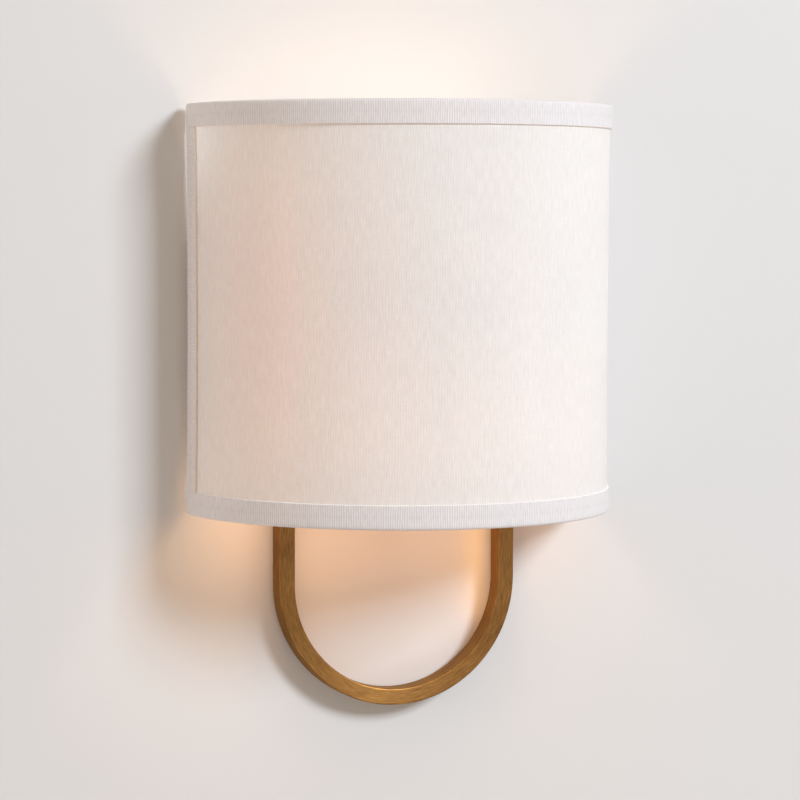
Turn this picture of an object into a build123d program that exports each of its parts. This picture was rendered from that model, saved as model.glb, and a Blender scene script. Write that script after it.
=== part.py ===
from build123d import *
import os
from math import asin, atan2, cos, degrees, sin, tan

# Fabric shade wall light: a half-drum fabric shade over a brass wiring pan, with a U-shaped
# hoop of rectangular bar that hangs below it.
#
# Millimetres. X runs to the right, Y into the wall and Z up. The wall is the plane Y = 0,
# and the origin is the centre of the outlet box that the light is screwed to.

# ---------------------------------------------------------------- driving dimensions

# Shade: its plan is half a circle with the straight side towards the wall
SHADE_RADIUS = 127.0         # to the outside of the tape
SHADE_HEIGHT = 235.0
SHADE_WALL_GAP = 5.0         # back edges clear of the wall
SHADE_CENTRE_Z = 0.0

TAPE_THICKNESS = 0.9
TAPE_WIDTH = 13.7            # rim tape, on the outside
TAPE_HEM = 8.0               # tape turned over to the inside
TAPE_FOLD = 0.8              # rounding of a folded edge
EDGE_TAPE_WIDTH = 14.5       # upright tape down the back edges
FABRIC_THICKNESS = 0.6
LINER_THICKNESS = 0.8        # clear styrene that the fabric is bonded to
WIRE_DIAMETER = 2.4
WIRE_FIT = 0.05              # room round a frame wire
WELD_SINK = 0.3              # how far an upright wire is fused into a rim wire

# Fitter straps: two flat straps that cross the shade's open back
FITTER_THICKNESS = 1.5
FITTER_HEIGHT = 12.0
FITTER_OFFSET = 50.0         # strap above and below the middle of the box
FITTER_LEAN = 2.0            # how far the ends lean inwards, to follow the shade's sides
FITTER_BEND = 3.0            # bend radius on the strap's middle line
FITTER_NOTCH = 0.5           # room round a strap where it passes the edge tape

# Wiring pan
PAN_HEIGHT = 165.0
PAN_DEPTH = 25.0
PAN_THICKNESS = 1.2
PAN_CORNER = 8.0
PAN_EDGE = 3.0

# Hoop: rectangular bar bent to a U, with its legs against the pan's sides
HOOP_RADIUS = 73.5           # outside of the half circle
BAR_WIDTH = 9.5              # seen from the front
BAR_DEPTH = 12.7             # from front to back
BAR_EDGE = 0.8               # softened corners
HOOP_WALL_GAP = 2.8
HOOP_STRAIGHT = 42.3         # straight leg between the shade and the half circle
HOOP_LEG_TOP = 60.0
HOOP_SCREW_HEIGHTS = (45.0, -60.0)
HOOP_SCREW_LENGTH = 8.0
HOOP_TAP_DEPTH = 7.4

# Mounting strap and its studs
STRAP_LENGTH = 104.0
STRAP_WIDTH = 16.0
STRAP_THICKNESS = 1.5
STRAP_CORNER = 3.0
BOX_SLOT_SPACING = 79.4      # slot centres, which take box screws 69.85 to 88.9 apart
BOX_SLOT_LENGTH = 14.2
BOX_SLOT_WIDTH = 4.6
STUD_RADIUS = 2.1
STUD_X = 20.0
STUD_PROUD = 7.5             # stud ahead of the pan
STUD_HOLE_GAP = 0.4
STUD_NUT_FLATS = 8.7
STUD_NUT_HEIGHT = 3.2
GROUND_SCREW_X = -9.0
GROUND_SCREW_FLATS = 6.4
GROUND_HEAD_HEIGHT = 2.6

CAP_NUT_FLATS = 9.5
CAP_NUT_HEX_HEIGHT = 4.0
CAP_NUT_DOME_RADIUS = 4.3
CAP_NUT_COLLAR = 2.2         # straight stretch under the dome
CAP_NUT_SPARE = 0.8          # blind hole beyond the stud's end

# Studs, pins and thumb nuts that hold the shade
SHADE_STUD_RADIUS = 2.0
SHADE_STUD_INSET = 18.0      # stud from the pan's side
SHADE_HOLE_GAP = 0.25
THUMB_RADIUS = 7.5
THUMB_HEIGHT = 5.0
THUMB_COLLAR_RADIUS = 4.6
THUMB_COLLAR_HEIGHT = 2.5
THUMB_FLUTES = 18
THUMB_FLUTE_RADIUS = 0.7
SHADE_STUD_SPARE = 1.5       # stud ahead of the thumb nut
PIN_PROUD = 3.0              # locating pin ahead of the lower strap
RIVET_HEAD_RADIUS = 3.6
RIVET_HEAD_HEIGHT = 1.2

# Common small screw
SCREW_RADIUS = 2.0
SCREW_HEAD_RADIUS = 3.6
SCREW_HEAD_HEIGHT = 2.0
SCREW_HEAD_EDGE = 0.8
SCREW_SLOT_WIDTH = 0.9
SCREW_SLOT_DEPTH = 1.0

# Lead bushing in the pan
GROMMET_Z = -28.0
GROMMET_RADIUS = 5.0
GROMMET_FLANGE = 2.2
GROMMET_FLANGE_HEIGHT = 1.2
GROMMET_BORE = 3.2

# Lamp holder
SOCKET_AHEAD = 68.0          # socket axis in front of the wall
SOCKET_SEAT_Z = -76.5        # top of the bracket
BRACKET_THICKNESS = 1.5
BRACKET_WIDTH = 24.0
BRACKET_RISE = 20.0
BRACKET_BEND = 2.0
BRACKET_TIP = 12.0           # bracket ahead of the socket axis
BRACKET_SCREW_X = 6.5
BRACKET_SCREW_RISE = 11.0
BRACKET_SCREW_LENGTH = 7.0

NIPPLE_RADIUS = 4.9
NIPPLE_BORE = 3.2
NIPPLE_BELOW = 11.0          # nipple below the seat
NIPPLE_ABOVE = 7.0           # nipple above the seat
WASHER_RADIUS = 8.0
WASHER_THICKNESS = 0.8
LOCK_NUT_FLATS = 14.0
LOCK_NUT_HEIGHT = 3.2
BUSHING_FLANGE_HEIGHT = 1.6
BUSHING_SLEEVE = 4.0
BUSHING_WALL = 0.8

CUP_RADIUS = 12.0
CUP_HEIGHT = 37.0
CUP_THICKNESS = 0.8
CUP_EDGE = 2.0
BODY_FIT = 0.1
BODY_RECESS = 1.0            # insulator below the cup's rim
BODY_FLOOR = 14.0            # insulator's floor above the seat
LEAD_WAY_RADIUS = 2.2
SHELL_THICKNESS = 0.4
SHELL_LENGTH = 15.0
CONTACT_THICKNESS = 0.5
CONTACT_WIDTH = 4.0
CONTACT_HALF_SPAN = 4.2
CONTACT_GAP = 0.3            # bulb's tip clear of the spring contact

# Bulb with a candelabra screw base
BULB_BASE_RADIUS = 5.95
BULB_BASE_THICKNESS = 0.45
BULB_SHELL_LENGTH = 13.5
BULB_INSULATOR_LENGTH = 3.0
BULB_INSULATOR_TIP = 3.4
BULB_TIP_RADIUS = 2.4
BULB_TIP_HEIGHT = 1.0
BULB_TIP_EDGE = 0.8
BULB_TIP_RISE = 17.0         # tip of the base above the seat
BULB_NECK_SINK = 2.5         # glass inside the base
BULB_RADIUS = 17.5
BULB_LENGTH = 78.0           # glass above the base
BULB_WIDEST_RISE = 31.0      # widest part of the glass above the base
BULB_FLARE_RADIUS = 20.0     # hollow curve above the neck
BULB_NOSE_RADIUS = 4.0       # rounded tip of the glass
GLASS_THICKNESS = 0.7
STEM_RADIUS = 2.6
STEM_HEIGHT = 18.0
STEM_WIRE_RADIUS = 0.5
HUB_RADIUS = 5.0
HUB_THICKNESS = 0.8
FILAMENT_RADIUS = 0.8
FILAMENT_LENGTH = 32.0
FILAMENT_CIRCLE = 3.8
FILAMENT_COUNT = 4

RUNNING_FIT = 0.08           # radial room between a turning piece and what it turns on
NUT_SEAT_GAP = 0.1           # room under a nut that turns
CUTTER_REACH = 1.0           # how far a cutter runs past the faces it cuts

# ---------------------------------------------------------------- worked-out places

SHADE_TOP = SHADE_CENTRE_Z + SHADE_HEIGHT / 2
SHADE_BOTTOM = SHADE_CENTRE_Z - SHADE_HEIGHT / 2
BACK_Y = -SHADE_WALL_GAP

# Layers of the shade, as insets from the outside of the tape
FABRIC_INSET = TAPE_THICKNESS
LINER_INSET = FABRIC_INSET + FABRIC_THICKNESS
ROOM_INSET = LINER_INSET + LINER_THICKNESS
WIRE_INSET = ROOM_INSET + WIRE_FIT + WIRE_DIAMETER / 2
HEM_INSET = WIRE_INSET + WIRE_DIAMETER / 2 + WIRE_FIT
INSIDE_INSET = HEM_INSET + TAPE_THICKNESS

WIRE_X = SHADE_RADIUS - WIRE_INSET
WIRE_AHEAD = TAPE_THICKNESS + WIRE_FIT + WIRE_DIAMETER / 2
RIM_WIRE_DROP = TAPE_THICKNESS + WIRE_FIT + WIRE_DIAMETER / 2

PAN_HALF_WIDTH = HOOP_RADIUS - BAR_WIDTH
PAN_FRONT = -PAN_DEPTH
SHADE_STUD_X = PAN_HALF_WIDTH - SHADE_STUD_INSET
HOOP_ARC_Z = SHADE_BOTTOM - HOOP_STRAIGHT
LEG_Y = -(HOOP_WALL_GAP + BAR_DEPTH / 2)

FITTER_FRONT = PAN_FRONT - FITTER_THICKNESS
SOCKET_Y = -SOCKET_AHEAD
BRACKET_LOW = SOCKET_SEAT_Z - BRACKET_THICKNESS
SHELL_BORE = BULB_BASE_RADIUS + RUNNING_FIT
SHELL_RADIUS = SHELL_BORE + SHELL_THICKNESS
BODY_TOP = SOCKET_SEAT_Z + CUP_HEIGHT - BODY_RECESS
BULB_TIP_Z = SOCKET_SEAT_Z + BULB_TIP_RISE
BULB_SHELL_LOW = BULB_TIP_Z + BULB_TIP_HEIGHT + BULB_INSULATOR_LENGTH
BULB_SHELL_TOP = BULB_SHELL_LOW + BULB_SHELL_LENGTH
NECK_RADIUS = BULB_BASE_RADIUS - BULB_BASE_THICKNESS


STAND = (Align.CENTER, Align.CENTER, Align.MIN)      # on the Z axis, standing on Z = 0


# ---------------------------------------------------------------- helpers

def facing_room(x, y, z):
    """Place a piece whose own +Z points away from the wall."""
    return Plane(origin=(x, y, z), x_dir=(1, 0, 0), z_dir=(0, -1, 0)).location


def cylinder(radius, low, high):
    """Upright cylinder between two heights on the local Z axis."""
    return Pos(0, 0, low) * Cylinder(radius, high - low, align=STAND)


def tube(radius, bore, low, high):
    """Upright tube between two heights on the local Z axis."""
    return cylinder(radius, low, high) - cylinder(bore, low, high)


def hex_prism(flats, low, high):
    """Upright hexagon, given across its flats, between two heights."""
    outline = Pos(0, 0, low) * RegularPolygon(flats / 2, 6, major_radius=False)
    return extrude(outline, high - low)


def at_socket(piece):
    """Put a piece that is modelled on the Z axis on the lamp holder's axis."""
    return Pos(0, SOCKET_Y, 0) * piece


def ahead_of(distance):
    """Block that fills all the space more than a distance ahead of the shade's back edges."""
    depth = SHADE_RADIUS * 2
    return Pos(0, BACK_Y - distance - depth / 2, SHADE_CENTRE_Z) * Box(
        SHADE_RADIUS * 4, depth, SHADE_HEIGHT * 4)


def d_arc(inset, ahead=0.0):
    """Curved side of the shade's plan, inset from the tape and ahead of the back edges."""
    radius = SHADE_RADIUS - inset
    start = degrees(asin(ahead / radius))
    return CenterArc((0, BACK_Y), radius, 180 + start, 180 - 2 * start)


def d_prism(inset, low, high):
    """Solid with the shade's plan, between two heights."""
    arc = d_arc(inset)
    face = make_face([arc, Line(arc @ 1, arc @ 0)])
    return extrude(Pos(0, 0, low) * face, high - low)


def d_band(outer, inner, low, high):
    """Curved wall between two insets and two heights."""
    return d_prism(outer, low, high) - d_prism(inner, low, high)


def pan_head_screw(length):
    """Slotted pan-head screw: seat at Z = 0, head above it and shank below."""
    head = cylinder(SCREW_HEAD_RADIUS, 0, SCREW_HEAD_HEIGHT)
    head = fillet(head.edges().sort_by(Axis.Z)[-1], SCREW_HEAD_EDGE)
    slot = Pos(0, 0, SCREW_HEAD_HEIGHT - SCREW_SLOT_DEPTH / 2) * Box(
        SCREW_HEAD_RADIUS * 2, SCREW_SLOT_WIDTH, SCREW_SLOT_DEPTH)
    return head - slot + cylinder(SCREW_RADIUS, -length, 0)


def rivet_stud(ahead):
    """Stud riveted through the pan: pan's front face at Z = 0, rivet head behind it."""
    return cylinder(SHADE_STUD_RADIUS, -PAN_THICKNESS, ahead) + cylinder(
        RIVET_HEAD_RADIUS, -PAN_THICKNESS - RIVET_HEAD_HEIGHT, -PAN_THICKNESS)


def both_sides(piece, x, y, z):
    """The same piece, facing the room, at X and at minus X, as separate solids."""
    return Compound([facing_room(side * x, y, z) * piece for side in (-1, 1)])


# ---------------------------------------------------------------- shade

def rim_tape(edge, inward):
    """Tape folded over a rim: outer face, rounded fold, inner hem and closed ends."""
    def span(near, far):
        return sorted((edge + inward * near, edge + inward * far))

    block = d_band(0, INSIDE_INSET, *span(0, TAPE_WIDTH))
    folds = block.edges().sort_by(Axis.Z, reverse=inward < 0).filter_by(GeomType.CIRCLE)[:2]
    block = fillet(folds, TAPE_FOLD)
    within = d_band(TAPE_THICKNESS, HEM_INSET, *span(TAPE_THICKNESS, TAPE_WIDTH))
    past_hem = d_band(TAPE_THICKNESS, INSIDE_INSET, *span(TAPE_HEM, TAPE_WIDTH))
    return block - ((within + past_hem) & ahead_of(TAPE_THICKNESS))


def edge_tape(side):
    """Upright tape folded over one back edge, between the rim tapes."""
    low, high = SHADE_BOTTOM + TAPE_WIDTH, SHADE_TOP - TAPE_WIDTH
    half = Pos(side * SHADE_RADIUS, 0, SHADE_CENTRE_Z) * Box(
        SHADE_RADIUS * 2, SHADE_RADIUS * 3, SHADE_HEIGHT * 2)
    block = (d_band(0, INSIDE_INSET, low, high) - ahead_of(EDGE_TAPE_WIDTH)) & half
    folds = block.edges().filter_by(Axis.Z).sort_by(Axis.Y)[-2:]
    block = fillet(folds, TAPE_FOLD)
    cut = d_band(TAPE_THICKNESS, HEM_INSET, low, high)
    cut += d_band(TAPE_THICKNESS, INSIDE_INSET, low, high) & ahead_of(TAPE_HEM)
    reach = FITTER_HEIGHT / 2 + FITTER_NOTCH
    for strap_z in (FITTER_OFFSET, -FITTER_OFFSET):
        cut += d_band(TAPE_THICKNESS, INSIDE_INSET, strap_z - reach, strap_z + reach)
    return block - (cut & ahead_of(TAPE_THICKNESS))


def shade_wall(outer, inner):
    """One layer of the shade's wall, from rim to rim inside the tape."""
    wall = d_band(outer, inner, SHADE_BOTTOM + TAPE_THICKNESS, SHADE_TOP - TAPE_THICKNESS)
    return wall & ahead_of(TAPE_THICKNESS)


def rim_wire(z):
    """Curved frame wire along a rim."""
    path = Pos(0, 0, z) * d_arc(WIRE_INSET, TAPE_THICKNESS + WIRE_FIT)
    section = Plane(origin=path @ 0, z_dir=path % 0) * Circle(WIRE_DIAMETER / 2)
    return sweep(section, path=path)


def edge_wire(side):
    """Upright frame wire at a back edge, fused into both rim wires."""
    reach = SHADE_HEIGHT / 2 - RIM_WIRE_DROP - WIRE_DIAMETER / 2 + WELD_SINK
    wire = cylinder(WIRE_DIAMETER / 2, -reach, reach)
    return Pos(side * WIRE_X, BACK_Y - WIRE_AHEAD, SHADE_CENTRE_Z) * wire


def fitter_strap(z):
    """Flat strap across the shade's back, bent back at its ends to the edge wires."""
    middle_y = PAN_FRONT - FITTER_THICKNESS / 2
    end_y = BACK_Y - TAPE_THICKNESS - WIRE_FIT
    lean = atan2(FITTER_LEAN, end_y - middle_y)
    wire_from_end = WIRE_DIAMETER / 2
    reach = (WIRE_DIAMETER + FITTER_THICKNESS) / 2
    end_x = WIRE_X - reach / cos(lean) + wire_from_end * tan(lean)
    corner_x = end_x - FITTER_LEAN
    path = FilletPolyline((-end_x, end_y), (-corner_x, middle_y), (corner_x, middle_y),
                          (end_x, end_y), radius=FITTER_BEND)
    flat = trace(path, line_width=FITTER_THICKNESS)
    strap = extrude(Pos(0, 0, z - FITTER_HEIGHT / 2) * flat, FITTER_HEIGHT)
    hole = cylinder(SHADE_STUD_RADIUS + SHADE_HOLE_GAP, -FITTER_THICKNESS, FITTER_THICKNESS)
    return strap - both_sides(hole, SHADE_STUD_X, middle_y, z)


def thumb_nut(side):
    """Fluted thumb nut on a shade stud."""
    nut = cylinder(THUMB_RADIUS, 0, THUMB_HEIGHT)
    flute = cylinder(THUMB_FLUTE_RADIUS, 0, THUMB_HEIGHT)
    nut -= PolarLocations(THUMB_RADIUS, THUMB_FLUTES) * flute
    nut += cylinder(THUMB_COLLAR_RADIUS, 0, THUMB_HEIGHT + THUMB_COLLAR_HEIGHT)
    nut -= cylinder(SHADE_STUD_RADIUS + RUNNING_FIT, 0, THUMB_HEIGHT + THUMB_COLLAR_HEIGHT)
    return facing_room(side * SHADE_STUD_X, FITTER_FRONT - NUT_SEAT_GAP, FITTER_OFFSET) * nut


# ---------------------------------------------------------------- wall side

def mounting_strap():
    """Slotted steel crossbar that goes on the outlet box."""
    flat = RectangleRounded(STRAP_LENGTH, STRAP_WIDTH, STRAP_CORNER)
    for side in (-1, 1):
        flat -= Pos(side * BOX_SLOT_SPACING / 2, 0) * SlotOverall(BOX_SLOT_LENGTH, BOX_SLOT_WIDTH)
        flat -= Pos(side * STUD_X, 0) * Circle(STUD_RADIUS)
    flat -= Pos(GROUND_SCREW_X, 0) * Circle(SCREW_RADIUS)
    return extrude(Plane.XZ * flat, STRAP_THICKNESS)


def ground_screw():
    """Hex-head earth screw in the mounting strap."""
    screw = hex_prism(GROUND_SCREW_FLATS, 0, GROUND_HEAD_HEIGHT)
    screw += cylinder(SCREW_RADIUS, -STRAP_THICKNESS, 0)
    return facing_room(GROUND_SCREW_X, -STRAP_THICKNESS, 0) * screw


def mounting_studs():
    """Two threaded studs from the strap through the pan."""
    stud = cylinder(STUD_RADIUS, 0, PAN_DEPTH + STUD_PROUD)
    return both_sides(stud, STUD_X, 0, 0)


def stud_lock_nuts():
    """Two hex nuts that lock the studs on the strap."""
    nut = hex_prism(STUD_NUT_FLATS, 0, STUD_NUT_HEIGHT) - cylinder(STUD_RADIUS, 0, STUD_NUT_HEIGHT)
    return both_sides(nut, STUD_X, -STRAP_THICKNESS, 0)


def cap_nut(side):
    """Domed cap nut that holds the pan on a stud."""
    dome_z = CAP_NUT_HEX_HEIGHT + CAP_NUT_COLLAR
    nut = hex_prism(CAP_NUT_FLATS, 0, CAP_NUT_HEX_HEIGHT)
    nut += cylinder(CAP_NUT_DOME_RADIUS, 0, dome_z)
    nut += Pos(0, 0, dome_z) * Sphere(CAP_NUT_DOME_RADIUS)
    nut -= cylinder(STUD_RADIUS + RUNNING_FIT, -CAP_NUT_DOME_RADIUS,
                    STUD_PROUD - NUT_SEAT_GAP + CAP_NUT_SPARE)
    return facing_room(side * STUD_X, PAN_FRONT - NUT_SEAT_GAP, 0) * nut


def backplate():
    """Drawn brass pan, open towards the wall, with the holes for all that it carries."""
    outline = RectangleRounded(PAN_HALF_WIDTH * 2, PAN_HEIGHT, PAN_CORNER)
    block = extrude(Plane.XZ * outline, PAN_DEPTH)
    block = fillet(block.faces().sort_by(Axis.Y)[0].edges(), PAN_EDGE)
    pan = offset(block, amount=-PAN_THICKNESS, openings=block.faces().sort_by(Axis.Y)[-1])

    def front_hole(radius):
        return cylinder(radius, -PAN_THICKNESS - CUTTER_REACH, CUTTER_REACH)

    pan -= both_sides(front_hole(STUD_RADIUS + STUD_HOLE_GAP), STUD_X, PAN_FRONT, 0)
    for z in (FITTER_OFFSET, -FITTER_OFFSET):
        pan -= both_sides(front_hole(SHADE_STUD_RADIUS), SHADE_STUD_X, PAN_FRONT, z)
    pan -= both_sides(front_hole(SCREW_RADIUS), BRACKET_SCREW_X, PAN_FRONT,
                      BRACKET_LOW + BRACKET_SCREW_RISE)
    pan -= facing_room(0, PAN_FRONT, GROMMET_Z) * front_hole(GROMMET_RADIUS)
    side_hole = Rot(0, 90, 0) * cylinder(SCREW_RADIUS, -HOOP_RADIUS, HOOP_RADIUS)
    for z in HOOP_SCREW_HEIGHTS:
        pan -= Pos(0, LEG_Y, z) * side_hole
    return pan


def wire_grommet():
    """Snap bushing where the leads leave the pan."""
    bushing = cylinder(GROMMET_RADIUS, -PAN_THICKNESS, 0)
    bushing += cylinder(GROMMET_RADIUS + GROMMET_FLANGE, 0, GROMMET_FLANGE_HEIGHT)
    bushing += cylinder(GROMMET_RADIUS + GROMMET_FLANGE / 2,
                        -PAN_THICKNESS - GROMMET_FLANGE_HEIGHT, -PAN_THICKNESS)
    bushing -= cylinder(GROMMET_BORE, -PAN_DEPTH, PAN_DEPTH)
    return facing_room(0, PAN_FRONT, GROMMET_Z) * bushing


# ---------------------------------------------------------------- hoop

def hoop_screw_places():
    """Seats of the hoop's screws inside the pan, with the way each head points."""
    for z in HOOP_SCREW_HEIGHTS:
        for side in (-1, 1):
            seat = (side * (PAN_HALF_WIDTH - PAN_THICKNESS), LEG_Y, z)
            yield Plane(origin=seat, x_dir=(0, 1, 0), z_dir=(-side, 0, 0)).location


def hoop():
    """Rectangular bar bent to a U, with tapped holes in its legs."""
    def tongue(radius):
        leg = HOOP_LEG_TOP - HOOP_ARC_Z
        legs = Pos(0, HOOP_ARC_Z + leg / 2) * Rectangle(radius * 2, leg)
        return legs + Pos(0, HOOP_ARC_Z) * Circle(radius)

    outline = tongue(HOOP_RADIUS) - tongue(HOOP_RADIUS - BAR_WIDTH)
    bar = extrude(Plane.XZ.offset(HOOP_WALL_GAP) * outline, BAR_DEPTH)
    faces = bar.faces().sort_by(Axis.Y)
    bar = fillet(faces[0].edges() + faces[-1].edges(), BAR_EDGE)
    tap = cylinder(SCREW_RADIUS, -PAN_THICKNESS - HOOP_TAP_DEPTH, 0)
    for place in hoop_screw_places():
        bar -= place * tap
    return bar


def hoop_screws():
    """Four screws from inside the pan into the hoop's legs."""
    return Compound([place * pan_head_screw(HOOP_SCREW_LENGTH) for place in hoop_screw_places()])


# ---------------------------------------------------------------- lamp holder

def socket_bracket():
    """Bent steel bracket from the pan's front to under the socket."""
    reach = SOCKET_AHEAD + BRACKET_TIP - PAN_DEPTH
    low = BRACKET_LOW
    profile = Polyline((0, 0), (-reach, 0), (-reach, BRACKET_THICKNESS),
                       (-BRACKET_THICKNESS, BRACKET_THICKNESS), (-BRACKET_THICKNESS, BRACKET_RISE),
                       (0, BRACKET_RISE), close=True)
    face = make_face(profile)
    face = fillet(face.vertices().sort_by_distance((0, 0))[0], BRACKET_BEND + BRACKET_THICKNESS)
    corner = (-BRACKET_THICKNESS, BRACKET_THICKNESS)
    face = fillet(face.vertices().sort_by_distance(corner)[0], BRACKET_BEND)
    bend = extrude(Plane.YZ.offset(-BRACKET_WIDTH / 2) * face, BRACKET_WIDTH)
    bend = Pos(0, PAN_FRONT, low) * bend
    tip = bend.edges().filter_by(Axis.Z).sort_by(Axis.Y)[:2]
    bend = fillet(tip, BRACKET_WIDTH / 2 - BRACKET_THICKNESS)
    bend -= at_socket(cylinder(NIPPLE_RADIUS, low - CUTTER_REACH, SOCKET_SEAT_Z + CUTTER_REACH))
    screw_hole = cylinder(SCREW_RADIUS, -CUTTER_REACH, BRACKET_THICKNESS + CUTTER_REACH)
    return bend - both_sides(screw_hole, BRACKET_SCREW_X, PAN_FRONT, low + BRACKET_SCREW_RISE)


def bracket_screws():
    """Two screws that hold the bracket on the pan."""
    return both_sides(pan_head_screw(BRACKET_SCREW_LENGTH), BRACKET_SCREW_X,
                      PAN_FRONT - BRACKET_THICKNESS, BRACKET_LOW + BRACKET_SCREW_RISE)


def socket_nipple():
    """Threaded tube that joins the socket to the bracket and carries the leads."""
    return at_socket(tube(NIPPLE_RADIUS, NIPPLE_BORE, SOCKET_SEAT_Z - NIPPLE_BELOW,
                          SOCKET_SEAT_Z + NIPPLE_ABOVE))


def nipple_washer():
    """Washer under the bracket."""
    return at_socket(tube(WASHER_RADIUS, NIPPLE_RADIUS, BRACKET_LOW - WASHER_THICKNESS, BRACKET_LOW))


def nipple_lock_nut():
    """Hex lock nut under the washer."""
    top = BRACKET_LOW - WASHER_THICKNESS
    nut = hex_prism(LOCK_NUT_FLATS, top - LOCK_NUT_HEIGHT, top)
    return at_socket(nut - cylinder(NIPPLE_RADIUS, top - LOCK_NUT_HEIGHT, top))


def nipple_bushing():
    """Plastic bushing in the nipple's lower end."""
    end = SOCKET_SEAT_Z - NIPPLE_BELOW
    bushing = cylinder(NIPPLE_RADIUS, end - BUSHING_FLANGE_HEIGHT, end)
    bushing += cylinder(NIPPLE_BORE, end, end + BUSHING_SLEEVE)
    bushing -= cylinder(NIPPLE_BORE - BUSHING_WALL, end - BUSHING_FLANGE_HEIGHT, end + BUSHING_SLEEVE)
    return at_socket(bushing)


def socket_cup():
    """Drawn brass cup round the socket's insulator."""
    block = cylinder(CUP_RADIUS, SOCKET_SEAT_Z, SOCKET_SEAT_Z + CUP_HEIGHT)
    block = fillet(block.edges().sort_by(Axis.Z)[0], CUP_EDGE)
    cup = offset(block, amount=-CUP_THICKNESS, openings=block.faces().sort_by(Axis.Z)[-1])
    cup -= cylinder(NIPPLE_RADIUS, SOCKET_SEAT_Z - CUTTER_REACH,
                    SOCKET_SEAT_Z + CUP_THICKNESS + CUTTER_REACH)
    return at_socket(cup)


def socket_body():
    """Moulded insulator that holds the screw shell and the centre contact."""
    low = SOCKET_SEAT_Z + CUP_THICKNESS
    floor = SOCKET_SEAT_Z + BODY_FLOOR
    body = cylinder(CUP_RADIUS - CUP_THICKNESS - BODY_FIT, low, BODY_TOP)
    body = fillet(body.edges().sort_by(Axis.Z)[0], CUP_EDGE)
    body -= cylinder(NIPPLE_RADIUS, low, SOCKET_SEAT_Z + NIPPLE_ABOVE)
    body -= cylinder(LEAD_WAY_RADIUS, low, floor)
    body -= cylinder(SHELL_RADIUS, floor, BODY_TOP)
    return at_socket(body)


def socket_screw_shell():
    """Brass shell that the bulb's base screws into."""
    return at_socket(tube(SHELL_RADIUS, SHELL_BORE, BODY_TOP - SHELL_LENGTH, BODY_TOP))


def socket_centre_contact():
    """Bent spring tongue under the bulb's tip, riveted to the insulator's floor."""
    floor = SOCKET_SEAT_Z + BODY_FLOOR + CONTACT_THICKNESS / 2
    tip = BULB_TIP_Z - CONTACT_GAP - CONTACT_THICKNESS / 2
    path = Polyline((CONTACT_HALF_SPAN, floor), (-CONTACT_HALF_SPAN, floor),
                    (-CONTACT_HALF_SPAN / 2, tip), (CONTACT_HALF_SPAN / 2, tip))
    strip = trace(path, line_width=CONTACT_THICKNESS)
    return at_socket(extrude(Plane.XZ.offset(-CONTACT_WIDTH / 2) * strip, CONTACT_WIDTH))


# ---------------------------------------------------------------- bulb

def bulb_base():
    """Screw shell of the bulb."""
    return at_socket(tube(BULB_BASE_RADIUS, NECK_RADIUS, BULB_SHELL_LOW, BULB_SHELL_TOP))


def bulb_insulator():
    """Glass insulator between the bulb's shell and its tip."""
    low = BULB_SHELL_LOW - BULB_INSULATOR_LENGTH
    cone = Pos(0, 0, low) * Cone(BULB_INSULATOR_TIP, NECK_RADIUS, BULB_INSULATOR_LENGTH,
                                 align=STAND)
    return at_socket(cone)


def bulb_contact():
    """Solder tip of the bulb."""
    tip = cylinder(BULB_TIP_RADIUS, BULB_TIP_Z, BULB_TIP_Z + BULB_TIP_HEIGHT)
    return at_socket(fillet(tip.edges().sort_by(Axis.Z)[0], BULB_TIP_EDGE))


def glass_outline(wall):
    """Half section of the torpedo glass, filled in to the axis, inside a given wall."""
    neck, widest = NECK_RADIUS - wall, BULB_RADIUS - wall
    flare, nose = BULB_FLARE_RADIUS + wall, BULB_NOSE_RADIUS - wall
    top = BULB_LENGTH - wall
    # The hollow flare and the full belly meet where each has turned by the same angle
    turn = 2 * atan2(widest - neck, BULB_WIDEST_RISE)
    flare_end = (neck + flare * (1 - cos(turn)), flare * sin(turn))
    # The long upper flank runs into the rounded nose
    rise = top - nose - BULB_WIDEST_RISE
    flank = (widest ** 2 + rise ** 2 - nose ** 2) / (2 * (widest - nose))
    lean = asin(rise / (flank - nose))
    shoulder = (nose * cos(lean), top - nose + nose * sin(lean))
    return make_face([
        Line((0, -BULB_NECK_SINK), (neck, -BULB_NECK_SINK)),
        Line((neck, -BULB_NECK_SINK), (neck, 0)),
        TangentArc((neck, 0), flare_end, tangent=(0, 1)),
        TangentArc(flare_end, (widest, BULB_WIDEST_RISE), tangent=(sin(turn), cos(turn))),
        TangentArc((widest, BULB_WIDEST_RISE), shoulder, tangent=(0, 1)),
        TangentArc(shoulder, (0, top), tangent=(-sin(lean), cos(lean))),
        Line((0, top), (0, -BULB_NECK_SINK)),
    ])


def bulb_globe():
    """Torpedo glass, blown to one wall thickness."""
    section = glass_outline(0) - glass_outline(GLASS_THICKNESS)
    glass = revolve(Plane.XZ * section, axis=Axis.Z)
    return Pos(0, SOCKET_Y, BULB_SHELL_TOP) * glass


def bulb_stem():
    """Glass mount with its upright wire and the two hubs that carry the filaments."""
    hub_low = STEM_HEIGHT - HUB_THICKNESS
    hub_high = STEM_HEIGHT + FILAMENT_LENGTH
    stem = Pos(0, 0, -BULB_NECK_SINK) * Cone(
        NECK_RADIUS - GLASS_THICKNESS, STEM_RADIUS, BULB_NECK_SINK + hub_low,
        align=STAND)
    stem += cylinder(STEM_WIRE_RADIUS, hub_low, hub_high)
    stem += cylinder(HUB_RADIUS, hub_low, STEM_HEIGHT)
    stem += cylinder(HUB_RADIUS, hub_high, hub_high + HUB_THICKNESS)
    return Pos(0, SOCKET_Y, BULB_SHELL_TOP) * stem


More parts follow.
